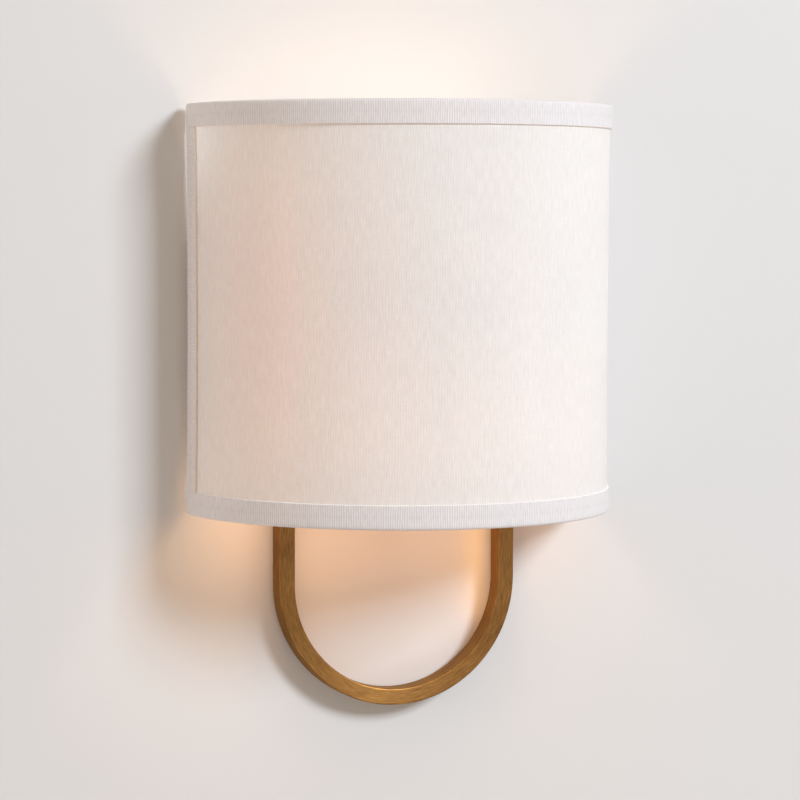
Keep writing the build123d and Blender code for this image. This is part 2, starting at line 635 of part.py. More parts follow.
def bulb_filaments():
    """Four upright filaments between the hubs."""
    rod = cylinder(FILAMENT_RADIUS, 0, FILAMENT_LENGTH)
    rods = [place * rod for place in PolarLocations(FILAMENT_CIRCLE, FILAMENT_COUNT)]
    return Compound([Pos(0, SOCKET_Y, BULB_SHELL_TOP + STEM_HEIGHT) * item for item in rods])


# ---------------------------------------------------------------- export

PIECES = {
    "mounting_strap": mounting_strap(),
    "mounting_studs": mounting_studs(),
    "stud_lock_nuts": stud_lock_nuts(),
    "ground_screw": ground_screw(),
    "backplate": backplate(),
    "cap_nut_left": cap_nut(-1),
    "cap_nut_right": cap_nut(1),
    "wire_grommet": wire_grommet(),
    "hoop": hoop(),
    "hoop_screws": hoop_screws(),
    "socket_bracket": socket_bracket(),
    "bracket_screws": bracket_screws(),
    "socket_nipple": socket_nipple(),
    "nipple_washer": nipple_washer(),
    "nipple_lock_nut": nipple_lock_nut(),
    "nipple_bushing": nipple_bushing(),
    "socket_cup": socket_cup(),
    "socket_body": socket_body(),
    "socket_screw_shell": socket_screw_shell(),
    "socket_centre_contact": socket_centre_contact(),
    "bulb_base": bulb_base(),
    "bulb_insulator": bulb_insulator(),
    "bulb_contact": bulb_contact(),
    "bulb_globe": bulb_globe(),
    "bulb_stem": bulb_stem(),
    "bulb_filaments": bulb_filaments(),
    "shade_wire_top": rim_wire(SHADE_TOP - RIM_WIRE_DROP),
    "shade_wire_bottom": rim_wire(SHADE_BOTTOM + RIM_WIRE_DROP),
    "shade_wire_left": edge_wire(-1),
    "shade_wire_right": edge_wire(1),
    "fitter_strap_upper": fitter_strap(FITTER_OFFSET),
    "fitter_strap_lower": fitter_strap(-FITTER_OFFSET),
    "shade_studs": both_sides(
        rivet_stud(FITTER_THICKNESS + NUT_SEAT_GAP + THUMB_HEIGHT + THUMB_COLLAR_HEIGHT
                   + SHADE_STUD_SPARE),
        SHADE_STUD_X, PAN_FRONT, FITTER_OFFSET),
    "locating_pins": both_sides(rivet_stud(FITTER_THICKNESS + PIN_PROUD),
                                SHADE_STUD_X, PAN_FRONT, -FITTER_OFFSET),
    "thumb_nut_left": thumb_nut(-1),
    "thumb_nut_right": thumb_nut(1),
    "shade_liner": shade_wall(LINER_INSET, ROOM_INSET),
    "shade_fabric": shade_wall(FABRIC_INSET, LINER_INSET),
    "tape_top": rim_tape(SHADE_TOP, -1),
    "tape_bottom": rim_tape(SHADE_BOTTOM, 1),
    "tape_left": edge_tape(-1),
    "tape_right": edge_tape(1),
}

os.makedirs("parts", exist_ok=True)
for name, piece in PIECES.items():
    export_step(piece, f"parts/{name}.step")
print(f"{len(PIECES)} pieces written")
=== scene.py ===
"""Fabric shade wall light, dressed for rendering.

A half-drum shade of white linen on a styrene liner hangs over a brass wiring pan, and a U-shaped
hoop of brushed antique brass bar shows below it. Lengths are metres. X runs to the right, Y into
the wall and Z up, and the wall is the plane Y = 0.
"""

import logging
import math
from dataclasses import dataclass, field
from enum import Enum
from typing import Mapping, Sequence

import bmesh
import bpy
from mathutils import Matrix, Vector, noise

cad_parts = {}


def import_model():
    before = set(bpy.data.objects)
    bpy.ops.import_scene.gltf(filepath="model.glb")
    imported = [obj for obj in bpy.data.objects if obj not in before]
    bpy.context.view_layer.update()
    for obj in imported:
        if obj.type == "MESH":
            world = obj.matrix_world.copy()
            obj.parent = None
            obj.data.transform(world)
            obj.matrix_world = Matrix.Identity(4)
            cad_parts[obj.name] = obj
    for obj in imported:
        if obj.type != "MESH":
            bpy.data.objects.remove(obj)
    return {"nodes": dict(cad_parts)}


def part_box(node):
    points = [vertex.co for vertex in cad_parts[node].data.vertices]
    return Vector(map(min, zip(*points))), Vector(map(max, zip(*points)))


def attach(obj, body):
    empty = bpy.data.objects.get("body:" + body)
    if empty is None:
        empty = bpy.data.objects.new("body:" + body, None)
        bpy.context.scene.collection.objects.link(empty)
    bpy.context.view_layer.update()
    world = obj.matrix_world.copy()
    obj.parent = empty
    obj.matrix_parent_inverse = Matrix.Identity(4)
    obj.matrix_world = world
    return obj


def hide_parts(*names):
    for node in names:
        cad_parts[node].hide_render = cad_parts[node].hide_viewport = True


MM = 0.001
LOG = logging.getLogger("wall_light")

Colour = tuple[float, float, float, float]
Place = tuple[float, float, float]
Span = tuple[float, float]
Outline = Sequence[tuple[float, float]]
Socket = bpy.types.NodeSocket


def linear(hex_code: str) -> Colour:
    """Turn an sRGB hex colour to linear.

    Args:
        hex_code: A colour such as "#efe9e2".

    Returns:
        Linear red, green, blue and an alpha of 1.
    """
    channels = (int(hex_code[i:i + 2], 16) / 255 for i in (1, 3, 5))
    red, green, blue = (c / 12.92 if c <= 0.04045 else ((c + 0.055) / 1.055) ** 2.4
                        for c in channels)
    return red, green, blue, 1.0


def add_node(material: bpy.types.ID, kind: str, inputs: Mapping | None = None,
             **settings: object) -> bpy.types.Node:
    """Add a shader node with its settings, plain values and links.

    Args:
        material: The material, or the world, that the node goes into.
        kind: Blender's name for the node.
        inputs: A value or a socket for each input, by its name or number.
        settings: The node's own properties.

    Returns:
        The new node.
    """
    node = material.node_tree.nodes.new(kind)
    for name, value in settings.items():
        setattr(node, name, value)
    for name, value in (inputs or {}).items():
        if isinstance(value, Socket):
            material.node_tree.links.new(value, node.inputs[name])
        else:
            node.inputs[name].default_value = value
    return node


# ------------------------------------------------------------------------------------ patterns

def even_ribs(material: bpy.types.Material, flat: Socket, pitch: float, drift: float) -> Socket:
    """Ribs across the first flat coordinate, evenly spaced but for a slow drift.

    Args:
        material: The material.
        flat: Flat coordinates in metres.
        pitch: Distance from rib to rib.
        drift: Distance over which the ribs wander a little to one side.

    Returns:
        Height of the ribs, from -1 to 1.
    """
    wander = add_node(material, "ShaderNodeTexNoise",
                      {"Vector": flat, "Scale": 1 / drift, "Detail": 1.0}).outputs[0]
    along = add_node(material, "ShaderNodeSeparateXYZ", {0: flat}).outputs["X"]
    turns = add_node(material, "ShaderNodeMath", {0: along, 1: math.tau / pitch},
                     operation="MULTIPLY").outputs[0]
    phase = add_node(material, "ShaderNodeMath", {0: wander, 1: math.tau * 2, 2: turns},
                     operation="MULTIPLY_ADD").outputs[0]
    return add_node(material, "ShaderNodeMath", {0: phase}, operation="SINE").outputs[0]


def two_tone(material: bpy.types.Material, pattern: Socket, band: Span,
             low: str, high: str) -> Socket:
    """Blend two colours by the height of a pattern.

    Args:
        material: The material.
        pattern: The pattern's height. A plain noise lies mostly between 0.3 and 0.7.
        band: Height up to which the low colour is pure, and height from which the high one is.
        low: Colour of the pattern's hollows.
        high: Colour of its tops.

    Returns:
        The blended colour.
    """
    share = add_node(material, "ShaderNodeMapRange",
                     {"Value": pattern, "From Min": band[0], "From Max": band[1]}).outputs[0]
    return add_node(material, "ShaderNodeMix", {0: share, 6: linear(low), 7: linear(high)},
                    data_type="RGBA").outputs[2]


def scuffed(material: bpy.types.Material, pattern: Socket, roughness: float, scuff: Span) -> Socket:
    """Roughness that follows a noise, as on metal that is worn a little unevenly.

    Args:
        material: The material.
        pattern: A plain noise.
        roughness: The metal's roughness.
        scuff: What the noise's hollows and tops add to it.

    Returns:
        The uneven roughness.
    """
    return add_node(material, "ShaderNodeMapRange",
                    {"Value": pattern, "From Min": 0.3, "From Max": 0.7,
                     "To Min": roughness + scuff[0], "To Max": roughness + scuff[1]}).outputs[0]


# ------------------------------------------------------------------------------------ finishes

class Grain(Enum):
    """Way that a brushed metal's grain runs."""

    ALONG_HOOP = "along the bent bar"
    UPRIGHT = "up and down"


@dataclass(frozen=True)
class Finish:
    """A named finish, made once as a material."""

    name: str

    def surface(self, material: bpy.types.Material) -> Socket:
        """Build the shader.

        Args:
            material: The material to build it in.

        Returns:
            The shader's output.
        """
        raise NotImplementedError

    def material(self) -> bpy.types.Material:
        """Make the finish's material on the first call, and find it again on the next.

        Returns:
            The material.
        """
        made = bpy.data.materials.get(self.name)
        if made is None:
            made = bpy.data.materials.new(self.name)
            made.use_nodes = True
            made.node_tree.nodes.clear()
            add_node(made, "ShaderNodeOutputMaterial", {"Surface": self.surface(made)})
        return made


@dataclass(frozen=True)
class BrushedBrass(Finish):
    """Brass bar or sheet, brushed one way, then darkened to an antique brown and lacquered.

    The eye sees a dull golden brown, streaked along the grain with paler and darker hairlines.
    """

    grain: Grain
    arc_radius: float = 0.0
    arc_z: float = 0.0
    brown: str = "#6a4526"
    gold: str = "#b18147"
    glancing: str = "#fff6dc"
    # A real hairline is about 0.2 mm wide; it is drawn wider, so that a pixel can show it
    hair_width: float = 0.42 * MM
    hair_length: float = 9 * MM
    hair_depth: float = 0.06 * MM
    patina_size: float = 30 * MM
    patina_share: float = 0.35
    gold_band: Span = (0.46, 0.92)
    roughness: float = 0.42
    scuff: Span = (-0.06, 0.08)

    def along_and_across(self, material: bpy.types.Material) -> tuple[Socket, Socket, Socket]:
        """Coordinates that follow the grain.

        Args:
            material: The material.

        Returns:
            Distance along the grain, distance across it, and the direction of the grain.
        """
        place = add_node(material, "ShaderNodeTexCoord").outputs["Object"]
        x, y, z = add_node(material, "ShaderNodeSeparateXYZ", {0: place}).outputs
        if self.grain is Grain.UPRIGHT:
            way = add_node(material, "ShaderNodeCombineXYZ", {"Z": 1.0}).outputs[0]
            across = add_node(material, "ShaderNodeMath", {0: x, 1: y}, operation="ADD").outputs[0]
            return z, across, way
        rise = add_node(material, "ShaderNodeMath", {0: z, 1: self.arc_z},
                        operation="SUBTRACT").outputs[0]
        # Just under zero in the legs, where the arc tangent would else jump by a whole turn
        below = add_node(material, "ShaderNodeMath", {0: rise, 1: -0.01 * MM},
                         operation="MINIMUM").outputs[0]
        above = add_node(material, "ShaderNodeMath", {0: rise, 1: 0.0},
                         operation="MAXIMUM").outputs[0]
        angle = add_node(material, "ShaderNodeMath", {0: below, 1: x},
                         operation="ARCTAN2").outputs[0]
        side = add_node(material, "ShaderNodeMath", {0: x}, operation="SIGN").outputs[0]
        leg = add_node(material, "ShaderNodeMath", {0: above, 1: side},
                       operation="MULTIPLY").outputs[0]
        along = add_node(material, "ShaderNodeMath", {0: angle, 1: self.arc_radius, 2: leg},
                         operation="MULTIPLY_ADD").outputs[0]
        spoke = add_node(material, "ShaderNodeCombineXYZ", {"X": x, "Z": below}).outputs[0]
        across = add_node(material, "ShaderNodeVectorMath", {0: spoke},
                          operation="LENGTH").outputs["Value"]
        turned = add_node(material, "ShaderNodeVectorMath", {0: spoke, 1: (0.0, 1.0, 0.0)},
                          operation="CROSS_PRODUCT").outputs[0]
        way = add_node(material, "ShaderNodeVectorMath", {0: turned},
                       operation="NORMALIZE").outputs[0]
        return along, across, way

    def surface(self, material: bpy.types.Material) -> Socket:
        """Brown metal with golden hairlines, whose gloss spreads across the grain.

        Args:
            material: The material to build it in.

        Returns:
            The shader's output.
        """
        along, across, way = self.along_and_across(material)
        place = add_node(material, "ShaderNodeTexCoord").outputs["Object"]
        depth = add_node(material, "ShaderNodeSeparateXYZ", {0: place}).outputs["Y"]
        grid = add_node(material, "ShaderNodeCombineXYZ",
                        {"X": along, "Y": across, "Z": depth}).outputs[0]
        stretch = (1 / self.hair_length, 1 / self.hair_width, 1 / self.hair_width)
        hairs = add_node(material, "ShaderNodeVectorMath", {0: grid, 1: stretch},
                         operation="MULTIPLY").outputs[0]
        hair = add_node(material, "ShaderNodeTexNoise",
                        {"Vector": hairs, "Scale": 1.0, "Detail": 3.0, "Roughness": 0.7}).outputs[0]
        patina = add_node(material, "ShaderNodeTexNoise",
                          {"Vector": place, "Scale": 1 / self.patina_size, "Detail": 3.0}).outputs[0]
        both = add_node(material, "ShaderNodeMath", {0: patina, 1: self.patina_share, 2: hair},
                        operation="MULTIPLY_ADD").outputs[0]
        colour = two_tone(material, both, self.gold_band, self.brown, self.gold)
        bump = add_node(material, "ShaderNodeBump",
                        {"Height": hair, "Strength": 0.35, "Distance": self.hair_depth}).outputs[0]
        return add_node(material, "ShaderNodeBsdfPrincipled",
                        {"Base Color": colour, "Metallic": 1.0,
                         "Roughness": scuffed(material, hair, self.roughness, self.scuff),
                         "Specular Tint": linear(self.glancing),
                         "Anisotropic": 0.5, "Anisotropic Rotation": 0.25,
                         "Normal": bump, "Tangent": way}).outputs[0]


@dataclass(frozen=True)
class PlainMetal(Finish):
    """Stamped or turned metal with a plated or bright surface, faintly clouded and scuffed."""

    base: str
    clouded: str
    roughness: float
    cloud_size: float = 6 * MM
    cloud_depth: float = 0.05 * MM
    scuff: Span = (-0.05, 0.08)

    def surface(self, material: bpy.types.Material) -> Socket:
        """Metal whose colour and roughness drift with the plating.

        Args:
            material: The material to build it in.

        Returns:
            The shader's output.
        """
        place = add_node(material, "ShaderNodeTexCoord").outputs["Object"]
        cloud = add_node(material, "ShaderNodeTexNoise",
                         {"Vector": place, "Scale": 1 / self.cloud_size, "Detail": 5.0,
                          "Roughness": 0.6}).outputs[0]
        colour = two_tone(material, cloud, (0.35, 0.65), self.base, self.clouded)
        bump = add_node(material, "ShaderNodeBump",
                        {"Height": cloud, "Strength": 0.15, "Distance": self.cloud_depth}).outputs[0]
        return add_node(material, "ShaderNodeBsdfPrincipled",
                        {"Base Color": colour, "Metallic": 1.0,
                         "Roughness": scuffed(material, cloud, self.roughness, self.scuff),
                         "Normal": bump}).outputs[0]


@dataclass(frozen=True)
class CoatedSolid(Finish):
    """Moulded plastic, fired glass or powder-coated wire: opaque, not metallic, lightly grained."""

    base: str
    speckled: str
    roughness: float
    index: float = 1.5
    grain_size: float = 0.8 * MM
    grain_height: float = 0.03 * MM

    def surface(self, material: bpy.types.Material) -> Socket:
        """Opaque coat with a fine grain in its colour and its height.

        Args:
            material: The material to build it in.

        Returns:
            The shader's output.
        """
        place = add_node(material, "ShaderNodeTexCoord").outputs["Object"]
        grain = add_node(material, "ShaderNodeTexNoise",
                         {"Vector": place, "Scale": 1 / self.grain_size, "Detail": 2.0}).outputs[0]
        colour = two_tone(material, grain, (0.4, 0.7), self.base, self.speckled)
        bump = add_node(material, "ShaderNodeBump",
                        {"Height": grain, "Strength": 0.3, "Distance": self.grain_height}).outputs[0]
        return add_node(material, "ShaderNodeBsdfPrincipled",
                        {"Base Color": colour, "Roughness": self.roughness, "IOR": self.index,
                         "Normal": bump}).outputs[0]


@dataclass(frozen=True)
class LampGlass(Finish):
    """Blown or pressed glass. Etching on the inside clouds a frosted one."""

    tint: str
    roughness: float
    wave_size: float = 14 * MM
    wave_height: float = 0.2 * MM

    def surface(self, material: bpy.types.Material) -> Socket:
        """Clear or clouded glass with the faint waves of blowing.

        Args:
            material: The material to build it in.

        Returns:
            The shader's output.
        """
        place = add_node(material, "ShaderNodeTexCoord").outputs["Object"]
        wave = add_node(material, "ShaderNodeTexNoise",
                        {"Vector": place, "Scale": 1 / self.wave_size, "Detail": 1.0}).outputs[0]
        bump = add_node(material, "ShaderNodeBump",
                        {"Height": wave, "Strength": 0.2, "Distance": self.wave_height}).outputs[0]
        return add_node(material, "ShaderNodeBsdfPrincipled",
                        {"Base Color": linear(self.tint), "Roughness": self.roughness,
                         "IOR": 1.5, "Transmission Weight": 1.0, "Normal": bump}).outputs[0]


@dataclass(frozen=True)
class GlowingCoat(Finish):
    """Phosphor in silicone, cast round a filament and lit, a little lumpy."""

    base: str = "#f6c65a"
    glow: str = "#ffc98a"
    strength: float = 5.0
    # The phosphor's own grains are far finer; these are the lumps of the coat
    grain_size: float = 0.4 * MM
    grain_height: float = 0.05 * MM

    def surface(self, material: bpy.types.Material) -> Socket:
        """Grainy phosphor that shines.

        Args:
            material: The material to build it in.

        Returns:
            The shader's output.
        """
        place = add_node(material, "ShaderNodeTexCoord").outputs["Object"]
        grain = add_node(material, "ShaderNodeTexNoise",
                         {"Vector": place, "Scale": 1 / self.grain_size, "Detail": 1.0}).outputs[0]
        bump = add_node(material, "ShaderNodeBump",
                        {"Height": grain, "Strength": 0.3, "Distance": self.grain_height}).outputs[0]
        return add_node(material, "ShaderNodeBsdfPrincipled",
                        {"Base Color": linear(self.base), "Roughness": 0.6,
                         "Emission Color": linear(self.glow), "Emission Strength": self.strength,
                         "Normal": bump}).outputs[0]


@dataclass(frozen=True)
class ShadeLinen(Finish):
    """White linen and cotton, plain woven with slubs and bonded flat to its liner.

    The upright threads are the heavier ones, so the cloth shows as fine upright ribs, and it
    lets a little of a lamp's light through.
    """

    face: str = "#f8f7f7"
    hollow: str = "#ebe8e6"
    through: str = "#f4efec"
    share_through: float = 0.20
    # Real threads lie about 0.5 mm apart; the ribs are drawn at the pitch that the eye picks out
    rib_pitch: float = 1.5 * MM
    rib_drift: float = 18 * MM
    rib_height: float = 0.13
    slub_length: float = 9 * MM
    weft_pitch: float = 1.1 * MM
    weft_length: float = 4 * MM
    weft_height: float = 0.35
    weave_band: Span = (0.45, 1.1)
    weave_depth: float = 0.2 * MM

    def surface(self, material: bpy.types.Material) -> Socket:
        """Ribbed cloth, part of whose light comes through from behind.

        Args:
            material: The material to build it in.

        Returns:
            The shader's output.
        """
        flat = add_node(material, "ShaderNodeUVMap", uv_map="UVMap").outputs[0]
        ribs = even_ribs(material, flat, self.rib_pitch, self.rib_drift)
        slub_at = add_node(material, "ShaderNodeVectorMath",
                           {0: flat, 1: (1 / self.rib_pitch, 1 / self.slub_length, 1.0)},
                           operation="MULTIPLY").outputs[0]
        slub = add_node(material, "ShaderNodeTexNoise",
                        {"Vector": slub_at, "Scale": 1.0, "Detail": 2.0,
                         "Roughness": 0.6}).outputs[0]
        weft_at = add_node(material, "ShaderNodeVectorMath",
                           {0: flat, 1: (1 / self.weft_length, 1 / self.weft_pitch, 1.0)},
                           operation="MULTIPLY").outputs[0]
        weft = add_node(material, "ShaderNodeTexNoise",
                        {"Vector": weft_at, "Scale": 1.0, "Detail": 2.0}).outputs[0]
        warp = add_node(material, "ShaderNodeMath", {0: ribs, 1: self.rib_height, 2: slub},
                        operation="MULTIPLY_ADD").outputs[0]
        weave = add_node(material, "ShaderNodeMath", {0: weft, 1: self.weft_height, 2: warp},
                         operation="MULTIPLY_ADD").outputs[0]
        colour = two_tone(material, weave, self.weave_band, self.hollow, self.face)
        glow = two_tone(material, weave, self.weave_band, self.through, self.face)
        bump = add_node(material, "ShaderNodeBump",
                        {"Height": weave, "Strength": 0.35, "Distance": self.weave_depth}).outputs[0]
        cloth = add_node(material, "ShaderNodeBsdfPrincipled",
                         {"Base Color": colour, "Roughness": 0.9, "Sheen Weight": 0.15,
                          "Normal": bump}).outputs[0]
        behind = add_node(material, "ShaderNodeBsdfTranslucent",
                          {"Color": glow, "Normal": bump}).outputs[0]
        return add_node(material, "ShaderNodeMixShader",
                        {0: self.share_through, 1: cloth, 2: behind}).outputs[0]


@dataclass(frozen=True)
class RibbedTape(Finish):
    """Self-fabric tape, ribbed across its width, folded over an edge and glued down.

    The eye sees short ribs at right angles to the edge, and a faint fold line where the tape was once
    folded in half, darkened in colour as painted shade. A thin line along its standing edge is painted
    lighter, as a painted warm glow or, on the lower tape, a painted white highlight.
    """

    tape_width: float
    # Painted warm glow along the standing edge, standing for light from inside the shade
    painted_edge_light: str = "#fff1e4"
    # The standing edge is the first millimetre of the section, before the tape's face
    edge_width: float = 1.0 * MM
    edge_blend: float = 0.3 * MM
    face: str = "#f8f4f4"
    hollow: str = "#e2dbdb"
    share_through: float = 0.10
    # Real ribs are finer; they are drawn at the pitch that the eye picks out
    rib_pitch: float = 1.3 * MM
    rib_drift: float = 30 * MM
    rib_height: float = 0.3
    thread_width: float = 0.7 * MM
    thread_length: float = 5 * MM
    crease_reach: float = 1.6 * MM
    crease_depth: float = 0.10
    weave_band: Span = (0.25, 0.9)
    weave_depth: float = 0.25 * MM

    def surface(self, material: bpy.types.Material) -> Socket:
        """Ribs across the tape, a faint fold along its middle painted darker as shade, and a line at
        its edge painted as glow or highlight.

        Args:
            material: The material to build it in.

        Returns:
            The shader's output.
        """
        flat = add_node(material, "ShaderNodeUVMap", uv_map="UVMap").outputs[0]
        across = add_node(material, "ShaderNodeSeparateXYZ", {0: flat}).outputs["Y"]
        ribs = even_ribs(material, flat, self.rib_pitch, self.rib_drift)
        thread_at = add_node(material, "ShaderNodeVectorMath",
                             {0: flat, 1: (1 / self.thread_width, 1 / self.thread_length, 1.0)},
                             operation="MULTIPLY").outputs[0]
        thread = add_node(material, "ShaderNodeTexNoise",
                          {"Vector": thread_at, "Scale": 1.0, "Detail": 2.0}).outputs[0]
        woven = add_node(material, "ShaderNodeMath", {0: ribs, 1: self.rib_height, 2: thread},
                         operation="MULTIPLY_ADD").outputs[0]
        # The middle fold dips the tape's height. This bumps it, and also darkens its colour there as
        # painted shade
        from_middle = add_node(material, "ShaderNodeMath",
                               {0: across, 1: self.edge_width + self.tape_width / 2},
                               operation="SUBTRACT").outputs[0]
        off_middle = add_node(material, "ShaderNodeMath", {0: from_middle},
                              operation="ABSOLUTE").outputs[0]
        crease_dip_and_shade = add_node(material, "ShaderNodeMapRange",
                          {"Value": off_middle, "From Max": self.crease_reach,
                           "To Min": self.crease_depth, "To Max": 0.0}).outputs[0]
        height = add_node(material, "ShaderNodeMath", {0: woven, 1: crease_dip_and_shade},
                          operation="SUBTRACT").outputs[0]
        colour = two_tone(material, height, self.weave_band, self.hollow, self.face)
        # Painted light: the standing edge takes the lighter edge colour, a painted glow or highlight
        painted_edge_mask = add_node(material, "ShaderNodeMapRange",
                           {"Value": across, "From Min": self.edge_width,
                            "From Max": self.edge_width + self.edge_blend,
                            "To Min": 1.0, "To Max": 0.0}).outputs[0]
        with_painted_edge_light = add_node(material, "ShaderNodeMix",
                         {0: painted_edge_mask, 6: colour, 7: linear(self.painted_edge_light)},
                         data_type="RGBA").outputs[2]
        bump = add_node(material, "ShaderNodeBump",
                        {"Height": height, "Strength": 0.5, "Distance": self.weave_depth}).outputs[0]
        cloth = add_node(material, "ShaderNodeBsdfPrincipled",
                         {"Base Color": with_painted_edge_light, "Roughness": 0.88, "Sheen Weight": 0.15,
                          "Normal": bump}).outputs[0]
        behind = add_node(material, "ShaderNodeBsdfTranslucent",
                          {"Color": with_painted_edge_light, "Normal": bump}).outputs[0]
        return add_node(material, "ShaderNodeMixShader",
                        {0: self.share_through, 1: cloth, 2: behind}).outputs[0]


@dataclass(frozen=True)
class StyreneSheet(Finish):
    """Clear styrene with a satin back, extruded. From inside, it lays a soft gloss on the cloth."""

    tint: str = "#fbf8f3"
    line_pitch: float = 4 * MM
    line_length: float = 250 * MM
    line_depth: float = 0.1 * MM

    def surface(self, material: bpy.types.Material) -> Socket:
        """Clear satin sheet with faint extrusion lines.

        Args:
            material: The material to build it in.

        Returns:
            The shader's output.
        """
        place = add_node(material, "ShaderNodeTexCoord").outputs["Object"]
        stretch = (1 / self.line_pitch, 1 / self.line_pitch, 1 / self.line_length)
        lines_at = add_node(material, "ShaderNodeVectorMath", {0: place, 1: stretch},
                            operation="MULTIPLY").outputs[0]
        lines = add_node(material, "ShaderNodeTexNoise",
                         {"Vector": lines_at, "Scale": 1.0, "Detail": 1.0}).outputs[0]
        bump = add_node(material, "ShaderNodeBump",
                        {"Height": lines, "Strength": 0.1, "Distance": self.line_depth}).outputs[0]
        return add_node(material, "ShaderNodeBsdfPrincipled",
                        {"Base Color": linear(self.tint), "Roughness": 0.35, "IOR": 1.5,
                         "Transmission Weight": 1.0, "Normal": bump}).outputs[0]


@dataclass(frozen=True)
class StagePaint(Finish):
    """Plain matt paint for the wall and floor, which aren't part of the light."""

    base: str
    hidden_from_behind: bool = False

    def surface(self, material: bpy.types.Material) -> Socket:
        """Matt paint. From behind, the wall is left out, so that the light's back shows.

        Args:
            material: The material to build it in.

        Returns:
            The shader's output.
        """
        paint = add_node(material, "ShaderNodeBsdfPrincipled",
                         {"Base Color": linear(self.base), "Roughness": 0.95,
                          "Specular IOR Level": 0.1}).outputs[0]
        if not self.hidden_from_behind:
            return paint
        back = add_node(material, "ShaderNodeNewGeometry").outputs["Backfacing"]
        # A ray that came through the wall's back finds the wall clear on the rest of its way too
        passed = add_node(material, "ShaderNodeLightPath").outputs["Transparent Depth"]
        left_out = add_node(material, "ShaderNodeMath", {0: back, 1: passed},
                            operation="ADD", use_clamp=True).outputs[0]
        clear = add_node(material, "ShaderNodeBsdfTransparent").outputs[0]
        return add_node(material, "ShaderNodeMixShader",
                        {0: left_out, 1: paint, 2: clear}).outputs[0]


# Rolled steel, zinc plated: cool pale grey with soft clouds
ZINC_STEEL = PlainMetal("steel_zinc_plated", "#b9bcc0", "#9fa3a8", 0.38)
# Steel with a green chromate over its zinc, which marks an earth screw: deep metallic green
GREEN_STEEL = PlainMetal("steel_green_chromate", "#2f7f47", "#24663a", 0.35)
# Brass left bright from stamping, for contacts: clean pale gold with sharp gloss
BRIGHT_BRASS = PlainMetal("brass_bright_stamped", "#d9b26a", "#c39a50", 0.25)
# Nickel over drawn brass: warm silver
NICKEL_BRASS = PlainMetal("brass_nickel_plated", "#cfc9bd", "#bcb5a8", 0.28)
# A set drop of solder: dull grey with small clouds
SOLDER = PlainMetal("solder_dull", "#a9a9ac", "#8f8f94", 0.45, 2 * MM)
# Drawn and turned brass, brushed up and down before it was darkened
UPRIGHT_BRASS = BrushedBrass("brass_antique_upright_grain", Grain.UPRIGHT)
# Moulded nylon: satin black
BLACK_NYLON = CoatedSolid("nylon_black_moulded", "#1c1c1c", "#262626", 0.45)
# Moulded phenolic resin, filled with wood flour: brown-black with a low gloss
PHENOLIC = CoatedSolid("phenolic_brown_moulded", "#2a2320", "#3a302a", 0.4)
# Glass fired into the bulb's cap: wet-looking black
BLACK_GLASS = CoatedSolid("glass_black_fired", "#0f0f10", "#17171a", 0.12)
# Powder coat on wire and strap: warm white, fine orange peel
WHITE_WIRE = CoatedSolid("wire_white_powder_coat", "#e9e7e2", "#dfdcd6", 0.5)
# Blown glass, etched on the inside: a milky bulb that blurs its filaments
FROSTED_GLASS = LampGlass("glass_frosted_blown", "#fffaf0", 0.25)
# Pressed glass: clear and glossy, with a breath of green
CLEAR_GLASS = LampGlass("glass_clear_pressed", "#f4fbf8", 0.05)
# Silicone with yellow phosphor, cast round each filament: bright warm sticks
LIT_PHOSPHOR = GlowingCoat("filament_phosphor")


# ------------------------------------------------------------------------------------ meshes

@dataclass
class MeshDraft:
    """Points, faces and the flat coordinates of each face's corners, gathered for one piece."""

    points: list[Vector] = field(default_factory=list)
    faces: list[tuple[int, ...]] = field(default_factory=list)
    corners: list[tuple[float, float]] = field(default_factory=list)

    def add_sweep(self, rows: Sequence[Sequence[Vector]], along: Sequence[float],
                  across: Sequence[float], closed: bool) -> None:
        """Add a skin through rows of points.

        Args:
            rows: The sections, with as many points in each.
            along: Flat coordinate of each section.
            across: Flat coordinate of each point of a section; one more if it is closed.
            closed: True for a section that meets itself, whose two ends are then capped.
        """
        start, count = len(self.points), len(rows[0])
        for row in rows:
            self.points.extend(row)
        for i in range(len(rows) - 1):
            for j in range(count if closed else count - 1):
                k = (j + 1) % count
                self.faces.append(tuple(start + a * count + b
                                        for a, b in ((i, j), (i + 1, j), (i + 1, k), (i, k))))
                self.corners += [(along[a], across[b])
                                 for a, b in ((i, j), (i + 1, j), (i + 1, j + 1), (i, j + 1))]
        if closed:
            last = start + (len(rows) - 1) * count
            for first, order in ((start, range(count)), (last, range(count - 1, -1, -1))):
                self.faces.append(tuple(first + j for j in order))
                self.corners += [(along[0], across[j]) for j in order]

    def build(self, name: str, finish: Finish, sharp: float = 40.0,
              closed: bool = True) -> bpy.types.Object:
        """Make the piece.

        Args:
            name: The piece's name.
            finish: What it is finished in.
            sharp: Angle in degrees above which an edge stays crisp.
            closed: True to turn every face outwards.

        Returns:
            The new object, in the scene.
        """
        mesh = bpy.data.meshes.new(name)
        mesh.from_pydata(self.points, [], self.faces)
        layer = mesh.uv_layers.new(name="UVMap")
        for loop, corner in zip(layer.data, self.corners):
            loop.uv = corner
        if closed:
            draft = bmesh.new()
            draft.from_mesh(mesh)
            bmesh.ops.recalc_face_normals(draft, faces=draft.faces)
            draft.to_mesh(mesh)
            draft.free()
        mesh.shade_smooth()
        mesh.set_sharp_from_angle(angle=math.radians(sharp))
        mesh.materials.append(finish.material())
        piece = bpy.data.objects.new(name, mesh)
        bpy.context.scene.collection.objects.link(piece)
        return piece


def round_off(distance: float, radius: float) -> float:
    """How far a rounded corner falls back.

    Args:
        distance: Distance from the corner's end.
        radius: The corner's radius.

    Returns:
        The fall at that distance, which is nothing beyond the radius.
    """
    if distance >= radius:
        return 0.0
    return radius - math.sqrt(radius ** 2 - (radius - distance) ** 2)


